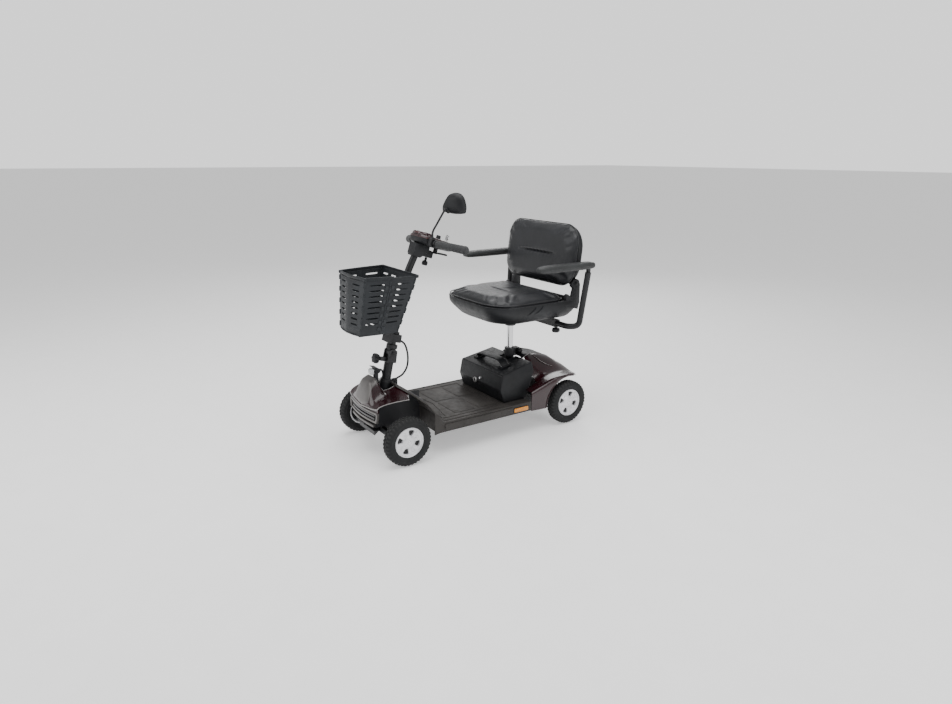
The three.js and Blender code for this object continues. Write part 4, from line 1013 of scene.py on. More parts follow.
def basket_outline(level):
    """Corners of the basket's plan at a level from 0 at its floor to 1 at its rim, right side first."""
    def mix(rim, floor):
        return floor + (rim - floor) * level
    back_half, front_half = mix(145, 102), mix(114, 92)
    back_y, front_y = mix(-317, -386), mix(-520, -540)
    z = BASKET_BOTTOM + (BASKET_TOP - BASKET_BOTTOM) * level
    right = [(back_half, back_y), ((back_half + front_half) / 2 + 4, (back_y + front_y) / 2),
             (front_half, front_y),
             (front_half / 2, front_y - 10.5), (0, front_y - 14)]
    left = [(-x, y) for x, y in reversed(right[:-1])]
    return [Vector((x, y, z)) for x, y in right + left]


def slotted_panel(name, low_a, low_b, high_a, high_b, columns, rows, levels, share, slot_height):
    """A moulded panel between two low and two high corners, pierced by rows of round-ended slots."""
    def place(u, v):
        return (low_a * (1 - u) + low_b * u) * (1 - v) + (high_a * (1 - u) + high_b * u) * v
    points, faces = [], []
    count = 24
    height = (high_a - low_a).length

    def ring(shape):
        start = len(points)
        points.extend(tuple(place(u, v)) for u, v in shape)
        return start
    low, high = levels
    bands = [(0, low)] + [(low + (high - low) * r / rows, low + (high - low) * (r + 1) / rows)
                          for r in range(rows)] + [(high, 1)]
    for band, (v0, v1) in enumerate(bands):
        for column in range(columns):
            u0, u1 = column / columns, (column + 1) / columns
            uc, vc, hu, hv = (u0 + u1) / 2, (v0 + v1) / 2, (u1 - u0) / 2, (v1 - v0) / 2
            directions = [2 * math.pi * k / count for k in range(count)]
            square = [(math.cos(a) / max(abs(math.cos(a)), abs(math.sin(a))),
                       math.sin(a) / max(abs(math.cos(a)), abs(math.sin(a))))
                      for a in directions]
            outer = ring([(uc + c * hu, vc + s * hv) for c, s in square])
            if band in (0, len(bands) - 1):
                faces.append(tuple(range(outer, outer + count)))
                continue
            slot_v = slot_height / 2 / height
            hole = []
            for a in directions:
                c, s = math.cos(a), math.sin(a)
                reach = (abs(c) ** 5 + abs(s) ** 5) ** -0.2
                hole.append((uc + c * reach * hu * share, vc + s * reach * slot_v))
            inner = ring(hole)
            faces.extend((outer + k, outer + (k + 1) % count, inner + (k + 1) % count, inner + k)
                         for k in range(count))
    return make(name, points, faces)


def basket():
    low, high = basket_outline(0.0), basket_outline(1.0)
    wide = [(0, 1, 8), (1, 2, 8)]
    panels = []
    for a, b, rows in wide:
        panels.append(slotted_panel("side", low[a], low[b], high[a], high[b], 1, rows, (0.16, 0.93), 0.56,
                                    6.5))
        c, d = 8 - a, 8 - b
        panels.append(slotted_panel("side", low[c], low[d], high[c], high[d], 1, rows, (0.16, 0.93), 0.56,
                                    6.5))
    for a, b in ((2, 4), (4, 6)):
        panels.append(slotted_panel("front", low[a], low[b], high[a], high[b], 1, 8, (0.14, 0.92), 0.44,
                                    6.5))
    panels.append(slotted_panel("back", low[0], low[8], high[0], high[8], 4, 6, (0.34, 0.93), 0.58, 6.5))
    floor_low = [p.lerp(sum(low, Vector()) / 9, 0.02) + Vector((0, 0, 2)) for p in low]
    panels.append(slotted_panel("floor", floor_low[0], floor_low[8], floor_low[2], floor_low[6], 3, 5,
                                (0.1, 0.95), 0.66, 12))
    body = join("basket_shell", *panels)
    welded = bmesh.new()
    welded.from_mesh(body.data)
    bmesh.ops.remove_doubles(welded, verts=welded.verts, dist=2e-5)
    welded.to_mesh(body.data)
    welded.free()
    bow_floor = [floor_low[2], floor_low[3], floor_low[4], floor_low[5], floor_low[6]]
    tongue = make("tongue", [tuple(p) for p in bow_floor], [(0, 1, 2, 3, 4)])
    thicken(body, 2.6, 0)
    thicken(tongue, 2.6, 0)
    shell = join("basket_walls", rounded(body, 0.5, 1, 50), tongue)
    dress(shell, "basket_plastic", "basket", ["basket"])

    rim = basket_outline(1.0)
    lip = sweep("rim", bent([*rim, rim[0], rim[1]], 9, 4)[1:-1], box_section(5.0, 3.0, 1.8), side=(0, 0, 1))
    under = sweep("rim_step", bent([*basket_outline(0.955), basket_outline(0.955)[0]], 9, 4),
                  box_section(1.2, 1.7, 0.8),
                  side=(0, 0, 1))
    base = sweep("base_bead", bent([*basket_outline(0.012), basket_outline(0.012)[0]], 7, 4),
                 box_section(2.2, 2.2, 1.4),
                 side=(0, 0, 1))
    nubs = []
    for k in (0, 8, 2, 6):
        nubs.append(lathe("nub", [(0.01, 5.5), (4.4, 5.2), (6.6, 3.4), (7, 0), (6.6, -4), (5, -7),
                                  (0.01, -7.6)],
                          tuple(rim[k] + Vector((0, 0, -1))), "z", 24))
    dress(join("basket_rim", lip, under, base, *nubs), "basket_plastic", "basket")

    knuckles = []
    for k in (0, 1, 2, 6, 7, 8):
        foot, top = basket_outline(0.03)[k], basket_outline(0.95)[k]
        out = Vector((math.copysign(0.8, foot.x), 0, 0))
        for step in range(9):
            t0, t1 = step / 9 + 0.006, (step + 1) / 9 - 0.006
            side = Vector((0, 1.5 if step % 2 else -1.5, 0))
            a, b = foot.lerp(top, t0) + out + side, foot.lerp(top, t1) + out + side
            knuckles.append(sweep("knuckle", [a, a.lerp(b, 0.06), a.lerp(b, 0.94), b], circle(3.4, 12),
                                  side=(1, 0, 0),
                                  scale=lambda t: 0.7 if t in (0, 1) else 1))
    for s in (1, -1):
        for k, other in ((0, 1), (1, 2)):
            for step in range(7):
                level0, level1 = 0.08 + step * 0.12, 0.14 + step * 0.12
                share = 0.12 if k == 1 else 0.88
                ends = []
                for ring in (basket_outline(level0), basket_outline(level1)):
                    point = ring[k].lerp(ring[other], share)
                    ends.append(((point.x + 1.6) * s, point.y, point.z))
                knuckles.append(sweep("finger", ends, box_section(1.6, 6, 1.2), side=(s, 0, 0)))
    dress(join("basket_hinges", *knuckles), "basket_plastic", "basket")


basket()

# ---------------------------------------------------------------- tiller, console and controls


def tiller():
    top = TILLER.inverted() @ HEAD @ Vector((0, -7, -36))
    tube = sweep("tiller_mast", bent([(0, 0, 30), (0, 0, 330), tuple(top)], 34, 10), circle(14.5, 36),
                 TILLER)
    eye = lathe("tiller_eye",
                [(5.4, -15.5), (12.8, -15.5), (14, -14.4), (14, 14.4), (12.8, 15.5), (5.4, 15.5)],
                (0, 0, 0),
                "x", 36, TILLER)
    neck = prism("tiller_neck", box_section(15.5, 13.8, 4, 3), 10, 27, "z", TILLER)
    collar = lathe("tiller_collar", [(14, 17), (21.6, 17), (23, 18.4), (23, 32.6), (21.6, 34), (14, 34)],
                   (0, 0, 0), "z", 40, TILLER)
    carve(neck, plug("eye_bore", 5.5, -20, 20, (0, 0, 0), "x", 32, TILLER))
    dress(join("tiller_post", tube, eye, neck, collar), "frame", "tiller", ["tiller_tube"])
    band = lathe("clamp_band",
                 [(14.6, 78.5), (19.5, 78.5), (20.5, 79.5), (20.5, 86), (19.5, 87), (14.6, 87)], (0, 0, 0),
                 "z", 36, TILLER)
    dress(band, "black_plastic", "tiller")
    for s in (1, -1):
        dress(stud(f"fold_bolt_{s + 1}", (s * 24.2, 0, FOLD), "x", 8, s * 5, COLUMN), "frame", "steering")


def knobs():
    profile = [(0.01, 22), (12, 21.5), (19, 19), (22, 14), (21.6, 4), (19, -2), (11, -5), (8, -9),
               (0.01, -9)]
    lock = lobed_knob("tiller_lock_grip", [(r, -z) for r, z in profile], (0, -54, FOLD - 30), "y", COLUMN)
    dress(lock, "black_plastic", "tiller_lock_knob", ["tiller_lock_knob"])
    clamp = [(0.01, 39), (6, 38.6), (11, 36.5), (12.6, 33), (12.8, 26), (11, 22.4), (4, 21.6), (4, 15.6),
             (0.01, 15.6)]
    dress(lobed_knob("post_clamp_grip", clamp, (0, 278, 320), "x", CHASSIS), "black_plastic",
          "post_clamp_knob",
          ["post_clamp_knob"])
    for label, s in (("left", 1), ("right", -1)):
        arm = [(0.01, -24), (11, -24), (16.6, -21.6), (18.8, -16), (18, -8), (15, -4.2), (5, -3.6),
               (5, -0.2), (0.01, -0.2)]
        dress(lobed_knob(f"armrest_{label}_grip", arm, (s * 152, 385, 441.6), "z", CHASSIS, 7),
              "black_plastic",
              f"armrest_knob_{label}", [f"armrest_knob_{label}"])
    low = [(0.01, -70), (8, -70), (11.4, -68), (12.4, -60), (10.6, -52), (5, -50), (5, -36.6),
           (0.01, -36.6)]
    dress(lobed_knob("console_grip", low, (0, 46, 0), "z", HEAD), "black_plastic", "console_knob",
          ["console_knob"])


def console_ring(z, grow, count=6):
    middle = 50
    right = [(36, -30), (58, -20), (66, 14), (62, 80), (44, 146)]
    outline = right + [(-x, y) for x, y in reversed(right)]
    loop = bent([(x, y, 0) for x, y in outline + outline[:2]], 12, count)[1:-1]
    return [(p.x * grow, middle + (p.y - middle) * grow, z) for p in loop]


def console():
    body = loft("console_pan", [console_ring(8.6, 0.72), console_ring(9.8, 0.79), console_ring(14, 0.92),
                                console_ring(22, 0.975), console_ring(34.4, 1)], HEAD)
    carve(body, plug("bar_slot", 12.5, -90, 90, (0, 12, 22), "x", 32, HEAD))
    wedge = prism("head_wedge", [(-30, -34), (-25, -44), (4, -46), (36, -16), (36, 8), (-30, 8)], -26, 26,
                  "x", HEAD)
    dress(body, "black_plastic", "tiller", ["console_housing"])
    bend = HEAD.inverted() @ TILLER @ Vector((0, 0, 330))
    tube_cut = sweep("tube_cut", [bend, bend.lerp(Vector((0, -7, -36)), 1.01)], circle(15, 32), HEAD)
    carve(wedge, tube_cut)
    lug = prism("knob_lug", [(16, -30), (30, -36), (66, -36), (66, -10), (52, -6), (16, -6)], -14, 14, "x",
                HEAD)
    dress(join("head_block", rounded(wedge, 3, 3), rounded(lug, 2, 3)), "black_plastic", "tiller",
          ["tiller_head"])

    plate = loft("console_lid", [console_ring(35.4, 1), console_ring(38, 1.005), console_ring(41.4, 0.985),
                                 console_ring(44, 0.95), console_ring(45, 0.9)], HEAD)
    carve(plate, plug("horn_pocket", 7.4, 40, 50, HORN_AT, "z", 36, HEAD))
    hump_rings = []
    for z, grow in ((39, 1), (48, 0.985), (53, 0.95), (56.6, 0.88), (58, 0.78)):
        outline = [(32, -27), (52, -17), (57, 12), (40, 30), (-40, 30), (-57, 12), (-52, -17), (-32, -27)]
        loop = bent([(x, y, 0) for x, y in outline + outline[:2]], 9, 5)[1:-1]
        hump_rings.append([(p.x * grow, p.y * grow, z) for p in loop])
    hump = loft("hump", hump_rings, HEAD)
    dress(join("console_top", plate, hump), "maroon_gloss", "tiller", ["console_cover"])
    lens = []
    for k in range(9):
        angle = math.radians(-150 + 120 * k / 8)
        lens.append((52.5 * math.cos(angle), 4 + 33 * math.sin(angle), 50))
    red = sweep("status_window", spline(lens, 4), box_section(4.2, 1.0, 0.9), HEAD, side=(0, 0, 1))
    dress(red, red_lens, "tiller")
    seam = [Vector(p) for p in console_ring(35.0, 1.012)]
    dress(sweep("console_seam", seam, circle(1.1, 8), HEAD, side=(0, 0, 1), closed=True), red_lens,
          "tiller")
    marks = []
    for k in range(11):
        a = math.radians(-30 + 24 * k)
        inner, outer = 14, 17.4
        marks.append(sweep("mark", [(20 + inner * math.cos(a), 66 + inner * math.sin(a), 45.3),
                                    (20 + outer * math.cos(a), 66 + outer * math.sin(a), 45.3)],
                                    box_section(0.5, 0.3, 0.2), HEAD,
                           side=(0, 0, 1)))
    dress(join("dial_scale", *marks), white_print, "tiller")
    leds = [lathe("led", [(0.01, 2.4), (1.6, 2.1), (2.4, 1), (2.4, 0), (0.01, 0)], (-34 + 7 * k, 58, 45),
                  "z", 20, HEAD) for k in range(4)]
    dress(join("charge_lights", *leds), "amber", "tiller")


def controls():
    def flute(angle, radius, height):
        return radius * (1 + (0.035 if 49.5 < height < 60 else 0) * math.cos(14 * angle))
    dial = lathe("dial_cap",
                 [(0.01, 62), (6.5, 62), (8.2, 61), (9, 59), (9.6, 50), (10.2, 49), (12, 48.6), (12, 45.5),
                  (0.01, 45.5)],
                 DIAL_AT, "z", 84, HEAD, closed=False, grow=flute)
    pointer = sweep("pointer", [(20, 67, 62.2), (20, 74, 62.2)], box_section(0.7, 0.5, 0.3), HEAD)
    dress(join("speed_knob", dial), "black_plastic", "speed_dial", ["speed_dial"])
    dress(pointer, white_print, "speed_dial")
    shaft = lathe("key_shaft", [(0.01, 54), (3.2, 54), (3.6, 53), (3.6, 45.5), (0.01, 45.5)], KEY_AT, "z",
                  24, HEAD)
    bow_outline = [(22 + 12 * math.copysign(abs(math.cos(a)) ** 0.8, math.cos(a)),
                    62.5 + 11.5 * math.sin(a))
                   for a in (2 * math.pi * k / 28 for k in range(28))]
    key_bow = prism("key_bow", bow_outline, 104.5, 107.5, "y", HEAD)
    carve(key_bow, plug("key_hole", 3.4, 100, 112, (22, 0, 67.5), "y", 24, HEAD))
    dress(join("key", shaft, rounded(key_bow, 0.8, 2)), "chrome", "ignition_key", ["ignition_key"])
    collar = lathe("key_collar", [(4.4, 45), (8.6, 45), (9, 46), (8.6, 47.4), (5, 48), (4.4, 47)], KEY_AT,
                   "z", 32, HEAD)
    dress(collar, "chrome", "tiller")
    horn = lathe("horn_cap", [(0.01, 46.4), (4.6, 46.2), (6.4, 45.4), (7, 44.4), (7, 42.6), (0.01, 42.6)],
                 HORN_AT, "z", 36, HEAD)
    dress(horn, "amber", "horn_button", ["horn_button"])
    ring = lathe("horn_ring", [(7.4, 45), (10, 45), (10.4, 46), (9.6, 47.2), (7.6, 47)], HORN_AT, "z", 36,
                 HEAD)
    dress(ring, "black_plastic", "tiller")
    parts = [lathe("throttle_hub", [(0.01, -14), (7.6, -14), (9, -12.6), (9, 8), (0.01, 8)], (0, 80, 0),
                   "z", 36, HEAD),
             rounded(prism("throttle_bar", [(-30, 75), (30, 75), (30, 85), (-30, 85)], -13, -7, "z", HEAD),
                     1.2, 2)]
    for s in (1, -1):
        outline = bent([(s * x, y, 0) for x, y in [(26, 80), (26, 74), (66, 54), (112, 54), (121, 63),
                                                   (110, 72), (66, 76), (26, 86), (26, 80)]],
                       4, 4)
        parts.append(rounded(prism("paddle", [(p.x, p.y) for p in outline[1:-1]], -13, -6, "z", HEAD), 1.8,
                             3))
    dress(join("throttle_paddles", *parts), "black_plastic", "throttle_lever", ["throttle_lever"])


def handlebar():
    bar = [(-226, 76, 25), (-78, 12, 22), (78, 12, 22), (226, 76, 25)]
    dress(sweep("bar", bent(bar, 18, 8), circle(12, 28), HEAD, side=(0, 0, 1)), "frame", "tiller",
          ["handlebar"])
    for label, s in (("left", 1), ("right", -1)):
        bend, tip = Vector((s * 78, 12, 22)), Vector((s * 226, 76, 25))
        count = 44
        path = [bend.lerp(tip, 0.12 + (1.03 - 0.12) * k / count) for k in range(count + 1)]

        def swell(t):
            body = 14 + 2.9 * t + 0.35 * math.sin(2 * math.pi * 9 * t)
            ends = min(1, 0.86 + t * 5, 0.72 + (1 - t) * 8)
            return body * ends
        grip = sweep(f"grip_{label}_foam", path, circle(1, 32), HEAD, side=(0, 0, 1), scale=swell)
        dress(grip, "grip_foam", "tiller", [f"grip_{label}"], degrees=50)
        ring = sweep(f"grip_{label}_collar", [bend.lerp(tip, 0.08), bend.lerp(tip, 0.115)],
                     circle(15.2, 32), HEAD,
                     side=(0, 0, 1))
        dress(rounded(ring, 0.6, 2), "black_plastic", "tiller")


def mirror():
    clamp = prism("mirror_clamp", [(12 + u, 22 + v) for u, v in box_section(17, 17, 6, 4)], 69, 87, "x",
                  HEAD)
    carve(clamp, sweep("bar_cut", bent([(0, 12, 22), (78, 12, 22), (226, 76, 25)], 18, 8), circle(12.4, 28),
                       HEAD, side=(0, 0, 1)))
    stem = sweep("mirror_rod", spline([(78, 8, 36), (79, -1, 64), (92, 1, 100), (115, 4, 155)], 10),
                 circle(4, 16), HEAD)
    joint = lathe("mirror_ball",
                  [(7.2 * math.sin(a), -7.2 * math.cos(a)) for a in (math.pi * k / 12 for k in range(13))],
                  (115, 4, 155), "z", 24, HEAD, closed=False)
    boot = lathe("stem_nut", [(4.2, 37), (7, 37), (7.6, 38), (7.6, 43), (6.4, 45), (4.2, 45)], (78, 7, 0),
                 "z", 6, HEAD)
    dress(join("mirror_arm", rounded(clamp, 1.2, 2), stem, joint, boot), "frame", "tiller", ["mirror_stem"])

    outline = [(-58, -34), (-66, -22), (-60, -2), (-36, 30), (-16, 42), (12, 46), (38, 40), (56, 22),
               (66, -8), (64, -28),
               (54, -38), (0, -42)]
    loop = [Vector((x, z, 0)) for x, z in outline]
    fine = []
    n = len(loop)
    for i in range(n):
        a, b, c, d = loop[i - 1], loop[i], loop[(i + 1) % n], loop[(i + 2) % n]
        for k in range(4):
            t = k / 4
            fine.append((b * 2 + (c - a) * t + (a * 2 - b * 5 + c * 4 - d) * t ** 2
                         + (b * 3 - a - c * 3 + d) * t ** 3) / 2)

    def ring(y, grow):
        return [(22 + p.x * 0.86 * grow, y, 23.5 + p.y * 0.94 * grow) for p in fine]
    shell = loft("mirror_shell",
                 [ring(12, 0.3), ring(12.6, 0.5), ring(15.5, 0.7), ring(21, 0.86), ring(28, 0.955),
                  ring(36, 0.995),
                                  ring(38, 0.99), ring(38.2, 0.94), ring(36.8, 0.925), ring(33, 0.92)],
                                  MIRROR)
    neck = lathe("mirror_neck",
                 [(0.01, 7.6), (6.6, 7.6), (8, 9), (8.4, 13), (11, 17), (14, 22), (0.01, 24)], (0, 0, 0),
                 "y", 32, MIRROR)
    dress(join("mirror_back", shell, neck), "black_plastic", "mirror", ["mirror_housing"])
    glass = loft("mirror_plate", [ring(33.4, 0.9), ring(35.6, 0.9), ring(36.2, 0.885), ring(36.7, 0.5)],
                 MIRROR)
    dress(glass, "mirror_glass", "mirror", ["mirror_glass"])


tiller()
knobs()
console()
controls()
handlebar()
mirror()

# ---------------------------------------------------------------- seat


def inflate(obj, pressure, cap, hold):
    """Cloth pressure swells the pad. Points that hold() picks stay put, and none moves past cap."""
    remesh = obj.modifiers.new("voxels", "REMESH")
    remesh.mode = "VOXEL"
    remesh.voxel_size = 0.006
    settle(obj)
    pins = obj.vertex_groups.new(name="pins")
    before = np.empty(len(obj.data.vertices) * 3, np.float32)
    obj.data.vertices.foreach_get("co", before)
    before = before.reshape(-1, 3)
    pins.add([i for i, p in enumerate(before) if hold(p)], 1, "ADD")
    cloth = obj.modifiers.new("cloth", "CLOTH")
    cloth.settings.quality = 5
    cloth.settings.mass = 0.25
    cloth.settings.tension_stiffness = cloth.settings.compression_stiffness = 18
    cloth.settings.bending_stiffness = 0.6
    cloth.settings.use_pressure = True
    cloth.settings.uniform_pressure_force = pressure
    cloth.settings.vertex_group_mass = "pins"
    cloth.settings.effector_weights.gravity = 0
    cloth.collision_settings.use_collision = False
    for step in range(1, 21):
        bpy.context.scene.frame_set(step)
    evaluated = obj.evaluated_get(bpy.context.evaluated_depsgraph_get())
    after = np.empty(len(before) * 3, np.float32)
    evaluated.data.vertices.foreach_get("co", after)
    move = after.reshape(-1, 3) - before
    length = np.linalg.norm(move, axis=1, keepdims=True)
    move *= np.minimum(1, cap / 1000 / np.maximum(length, 1e-9))
    obj.modifiers.clear()
    obj.vertex_groups.clear()
    obj.data.vertices.foreach_set("co", (before + move).reshape(-1).astype(np.float32))
    obj.data.update()
    bpy.context.scene.frame_set(1)
    return obj


def relax(obj, times):
    modifier = obj.modifiers.new("relax", "SMOOTH")
    modifier.iterations = times
    modifier.factor = 0.5
    return settle(obj)


def channel(obj, start, end, inward, width, depth, ripple=0.0):
    """Presses a sewn channel inward, with a soft shoulder and fading ends."""
    a, b, push = (np.array(v, float) for v in (start, end, inward))
    co = np.empty(len(obj.data.vertices) * 3, np.float32)
    normals = np.empty_like(co)
    obj.data.vertices.foreach_get("co", co)
    obj.data.vertex_normals.foreach_get("vector", normals)
    co, normals = co.reshape(-1, 3).astype(float), normals.reshape(-1, 3)
    run = b - a
    share = np.clip(((co - a) @ run) / (run @ run), -0.2, 1.2)
    inside = np.clip(share, 0, 1)
    offset = co - (a + inside[:, None] * run)
    offset -= np.outer(offset @ push, push)
    distance = np.linalg.norm(offset, axis=1)
    facing = (normals @ push) < -0.2
    fade = np.sin(np.pi * np.clip(inside, 0.03, 0.97)) ** 0.35
    wave = 1 + ripple * np.sin(share * 62)
    crease = np.exp(-(distance / width) ** 2)
    shoulder = 0.32 * np.exp(-(distance / (3.6 * width)) ** 2) * wave
    amount = depth * fade * (crease + shoulder)
    co += np.outer(amount * facing / 1000, push)
    obj.data.vertices.foreach_set("co", co.reshape(-1).astype(np.float32))
    obj.data.update()
    return obj


def stitches(name, path, body, pitch=7.0, radius=0.55, at=CHASSIS):
    """Short raised thread stitches along a path."""
    path = [Vector(p) for p in path]
    lengths = [(b - a).length for a, b in zip(path, path[1:])]
    pieces, travelled, target = [], 0.0, pitch / 2
    for (a, b), length in zip(zip(path, path[1:]), lengths):
        while travelled + length > target:
            t = (target - travelled) / length
            along = (b - a).normalized()
            middle = a.lerp(b, t)
            pieces.append((middle - along * 2.2, middle, middle + along * 2.2))
            target += pitch
        travelled += length
    tubes = [sweep("stitch", p, circle(radius, 6), at, scale=lambda t: 0.5 if t in (0, 1) else 1)
             for p in pieces]
    dress(join(name, *tubes), thread, body)


def seat_outline(half, front, rear, corner, steps=10):
    points = []
    for i in range(steps + 1):
        a = (i / steps) * math.pi / 2
        points.append((half - 114 + 114 * math.cos(a), front + 90 - 90 * math.sin(a)))
    mirrored = [(-x, y) for x, y in reversed(points)]
    back = []
    for i in range(5):
        a = (i / 4) * math.pi / 2
        back.append((-half + corner * (1 - math.cos(a)), rear - corner * (1 - math.sin(a))))
    straight_left = [(-half, front + 90 + (rear - corner - front - 90) * k / 8) for k in range(1, 8)]
    straight_right = [(-x, y) for x, y in reversed(straight_left)]
    return points + mirrored + straight_left + back + [(-x, y) for x, y in reversed(back)] + straight_right


def seat_ring(half, front, rear, z, corner=30):
    return [(x, y, z) for x, y in seat_outline(half, front, rear, corner)]


def seat_shell():
    outer = [(150, 92, 418, 491), (176, 62, 430, 492.4), (190, 47, 437, 502), (206, 32, 445, 520),
             (216, 19, 450, 536),
             (221.4, 10.5, 452, 549), (222.4, 8.5, 452.4, 560), (222.4, 8, 452.4, 571),
             (221.4, 9, 451.6, 575)]
    inner = [(216, 14.6, 446.4, 575), (214.6, 16, 444.6, 571), (214, 18, 444, 552), (196, 46, 432, 512),
             (168, 70, 424, 500), (140, 100, 410, 500)]
    tray = loft("tray", [seat_ring(*r) for r in outer + inner])
    brackets = []
    for x in (-222, 204):
        outline = [(376, 550), (446, 530), (455, 560), (454, 640), (446, 660), (430, 667), (414, 661),
                   (407, 648),
                   (408.5, 637), (414, 628.5), (421.5, 623), (413, 588), (400, 592.5), (388, 602),
                   (380, 598)]
        bracket = prism("bracket", outline, x, x + 18)
        carve(bracket, plug("bore", 5.4, x - 9, x + 30, SEAT_HINGE, "x", 24))
        brackets.append(rounded(bracket, 2.4, 3, 15))
    dress(join("seat_pan", tray, *brackets), "black_plastic", "seat", ["seat_shell"], degrees=40)
    ridges = []
    for s in (1, -1):
        for y in (180, 217):
            path = spline([(s * 223.4, y + 34, 566), (s * 223.2, y + 24, 553), (s * 219.4, y + 8, 541),
                           (s * 211, y - 12, 531)], 6)
            ridges.append(sweep("ridge", path, box_section(2.4, 3.2, 1.8), side=(s, 0, 0),
                                scale=lambda t: 0.3 + 0.7 * math.sin(math.pi * (0.08 + 0.84 * t)) ** 0.6))
    ridges.append(sweep("shell_bead", [(x, y, 573.4) for x, y in seat_outline(222.2, 8.2, 452.2, 30)],
                        circle(1.5, 8), side=(0, 0, 1),
                        closed=True))
    dress(join("seat_pan_ridges", *ridges), "black_plastic", "seat")
    for s, x in (("left", 222.4), ("right", -222.4)):
        dress(stud(f"hinge_cap_{s}", (x, 430, 645), "x", 9, math.copysign(4, x)), "frame", "seat")
    for k, (x, y) in enumerate(((64, 216), (-64, 216), (64, 300), (-64, 300), (96, 180), (-96, 180))):
        dress(stud(f"seat_bolt_{k}", (x, y, 485.8), "z", 6.5, -6), "frame", "seat")


def seat_cushion():
    rings = [(203, 32, 362, 557), (207, 25, 366, 559), (208, 22, 367.5, 566), (208.4, 21, 368, 578),
             (209.4, 15, 368, 583),
             (209.4, 13, 368, 590), (205, 17, 364, 597), (194, 30, 354, 602), (172, 54, 334, 604.5),
             (130, 96, 300, 605),
             (115, 112, 270, 605)]
    pad = loft("seat_pad", [seat_ring(*r) for r in rings])
    foot = (CHASSIS @ Vector((0, 0, 580))).z
    inflate(pad, 4.5, 9, lambda p: p[2] < foot)
    relax(pad, 6)
    subdivided(pad, 1)
    channel(pad, CHASSIS @ Vector((-62, 182, 606)), CHASSIS @ Vector((62, 182, 606)), (0, 0, -1), 0.0042,
            7.5, 0.25)
    channel(pad, CHASSIS @ Vector((-10, 290, 606)), CHASSIS @ Vector((10, 290, 606)), (0, 0, -1), 0.075, 5)
    dress(pad, "vinyl", "seat", ["seat_cushion"], degrees=70)
    piping = [(x, y, 583.5) for x, y in seat_outline(215, 9, 372, 30)]
    dress(sweep("seat_piping", piping, circle(2.3, 12), side=(0, 0, 1), closed=True), "vinyl", "seat")
    stitches("seat_stitching", [(x, y, 587.6) for x, y in seat_outline(214.6, 9.8, 371.6, 30)], "seat")


def back_outline(half, height, radius, y, inset, lift=0):
    return [(u, y, height / 2 + v + lift)
            for u, v in box_section(half - inset, height / 2 - inset, radius - inset, 10)]


def backrest():
    rings = [(3, 22), (5, 12), (9, 5), (16, 0), (24, 0), (30, 4), (32, 12)]
    pad = loft("back_pad", [back_outline(242, 268, 80, y, inset, 2) for y, inset in rings], BACK)
    plane = BACK @ Vector((0, 25, 130))
    out = (BACK.to_3x3() @ Vector((0, 1, 0))).normalized()
    inflate(pad, 4.5, 8, lambda p: (Vector(p) - plane).dot(out) > 0)
    relax(pad, 6)
    subdivided(pad, 1)
    channel(pad, BACK @ Vector((-124, 0, 134)), BACK @ Vector((124, 0, 134)), tuple(out), 0.0042, 9, 0.22)
    dress(pad, "vinyl", "backrest", ["backrest_cushion"], degrees=70)
    seam = back_outline(242, 268, 80, 22, 1.5, 2)
    dress(sweep("back_piping", seam, circle(2.2, 12), BACK, side=(0, 1, 0), closed=True), "vinyl",
          "backrest")
    stitches("back_stitching", back_outline(242, 268, 80, 16, 2.5, 2), "backrest", at=BACK)

    shell = loft("back_panel", [back_outline(235, 264, 100, y, inset, 2) for y, inset in
                                ((33.4, 6), (36, 2), (42, 0.4), (52, 0), (60, 3), (66, 11), (70, 24),
                                 (72, 42))], BACK)
    lugs = []
    for x in (-201, 187):
        arm = prism("lug",
                    [(57.2 - 11 * math.cos(a), 18.7 - 11 * math.sin(a))
                     for a in (math.pi * k / 12 for k in range(13))]
                    + [(68.2, 70), (46.2, 70)], x, x + 14, "x", BACK)
        lugs.append(rounded(arm, 1.6, 2, 25))
    pins = [plug("pin", 5, low, high, (0, 57.2, 18.7), "x", 24, BACK)
            for low, high in ((190, 221.8), (-221.8, -190))]
    dress(join("back_frame", shell, *lugs, *pins), "black_plastic", "backrest", ["backrest_shell"],
          degrees=40)
    grooves = []
    for k in range(3):
        z = 90 + 44 * k
        grooves.append(sweep("rib", [(-110, 71.6, z), (-100, 73.2, z), (100, 73.2, z), (110, 71.6, z)],
                             box_section(2.2, 1.6, 1.2), BACK,
                             side=(0, 0, 1)))
    dress(join("back_ribs", *grooves), "black_plastic", "backrest")


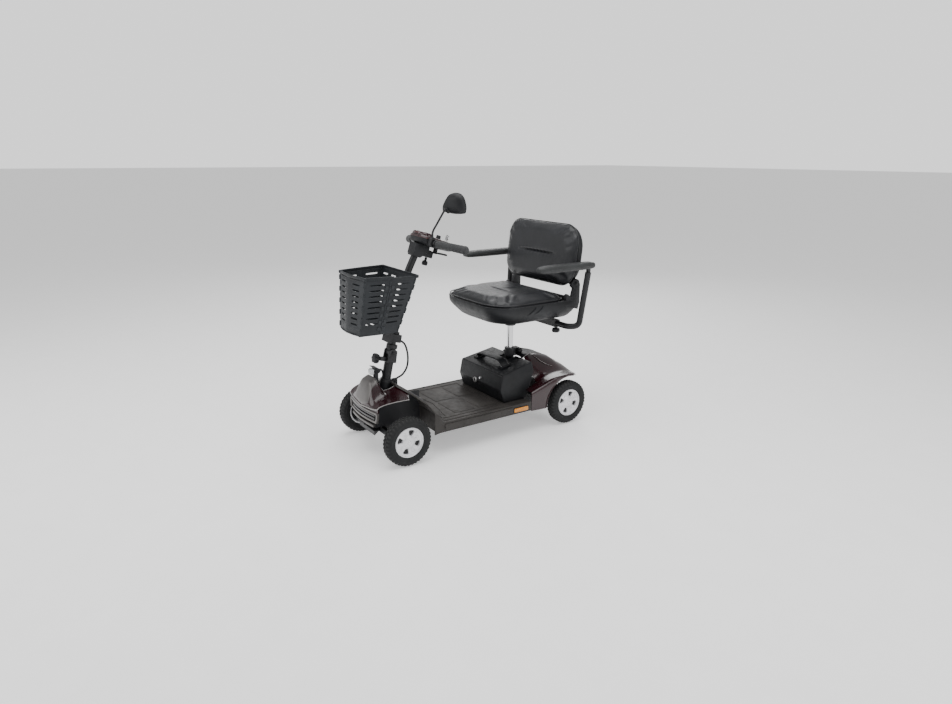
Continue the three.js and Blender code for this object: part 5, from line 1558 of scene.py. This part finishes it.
def armrests():
    for label, s in (("left", 1), ("right", -1)):
        corners = [(s * 64, 385, 460), (s * 232, 385, 460), (s * 259, 424, 464), (s * ARM_X, 449, 701)]
        tube = sweep("arm", bent(corners, 23, 10), circle(13.2, 28), side=(0, 0, 1))
        eye = prism("eye",
                    [(ARM_Y + 9 * math.cos(a), ARM_Z + 9 * math.sin(a))
                     for a in (math.pi * k / 12 for k in range(13))]
                    + [(442, 697), (456, 697)], s * ARM_X - 6, s * ARM_X + 6)
        carve(eye, plug("bore", 3.9, s * ARM_X - 9, s * ARM_X + 9, (0, ARM_Y, ARM_Z), "x", 24))
        dress(join(f"arm_{label}_tube", tube, rounded(eye, 1, 2)), "frame", f"armrest_tube_{label}",
              [f"armrest_tube_{label}"])

        def section(y, half_x, half_z, z):
            return [(s * ARM_X + u, ARM_Y + y, ARM_Z + z + v)
                    for u, v in box_section(half_x, half_z, min(half_x, half_z) * 0.85, 5)]
        rows = [(-277, 11, 5, -3), (-275, 16, 8, -3), (-268, 21, 11.5, -2), (-252, 24.4, 14, -1.4),
                (-228, 25.8, 15.2, -1),
                (-140, 26, 15.5, -1), (-48, 26, 15.5, -1), (-10, 25.4, 15, -1), (12, 24, 14, -1),
                (22, 20, 11, -1), (25, 15, 7, -1)]
        pad = loft("pad", [section(*r) for r in rows])
        subdivided(pad, 1)
        slot = prism("slot", [(437, 713), (481, 713), (481, 742.4), (437, 742.4)], s * ARM_X - 6.5,
                     s * ARM_X + 6.5)
        carve(pad, slot)
        pin = plug("pin", 3.5, s * ARM_X - 20, s * ARM_X + 20, (0, ARM_Y, ARM_Z), "x", 20)
        whole = join(f"arm_{label}_pad", pad, pin)
        dress(whole, pad_skin, f"armrest_pad_{label}", [f"armrest_pad_{label}"],
              degrees=45)
        seam = [(s * ARM_X + u, ARM_Y + y, 732)
                for u, y in [(26.2, -228), (26.4, -140), (26.4, -48), (25.9, -10)]]
        mirrored = [(s * ARM_X - (x - s * ARM_X), y, z) for x, y, z in reversed(seam)]
        line = sweep(f"arm_{label}_seam_a", seam, circle(0.7, 8), side=(0, 0, 1))
        other = sweep(f"arm_{label}_seam_b", mirrored, circle(0.7, 8), side=(0, 0, 1))
        dress(join(f"arm_{label}_seam", line, other), pad_skin, f"armrest_pad_{label}")


def seat_post():
    post = lathe("post_tube",
                 [(0.01, 160), (12.6, 160), (14, 161.4), (14, 466.6), (12.6, 468), (0.01, 468)], POST_AT,
                 "z", 48)
    dress(post, "chrome", "seat_post", ["seat_post"])
    collar = lathe("socket_collar", [(19.2, 298), (25.6, 298), (26.4, 299), (26.4, 303), (25.4, 304)],
                   POST_AT, "z", 40)
    dress(collar, "black_plastic", "chassis")


seat_shell()
seat_cushion()
backrest()
armrests()
seat_post()

# ---------------------------------------------------------------- finishes on the CAD parts that stay

KEPT = {
    "frame": ["front_frame", "rear_frame", "knuckle_left", "knuckle_right", "steering_column", "tie_rod",
              "transaxle", "seat_base"],
    "deck_rubber": ["floor_pan"],
    "black_plastic": ["freewheel_lever", "basket_bracket", "swivel_lever"],
}
for material, names in KEPT.items():
    for node in names:
        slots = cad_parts[node].data.materials
        if not len(slots):
            slots.append(finish[material])
        for index in range(len(slots)):
            slots[index] = finish[material]

# ---------------------------------------------------------------- the plain studio floor

FLOOR_HALF = 60000
floor = sheet_surface("studio_floor", lambda u, v: (FLOOR_HALF * u, FLOOR_HALF * (2 * v - 1), -0.3), 8, 8)
floor.data.materials.append(floor_paint)
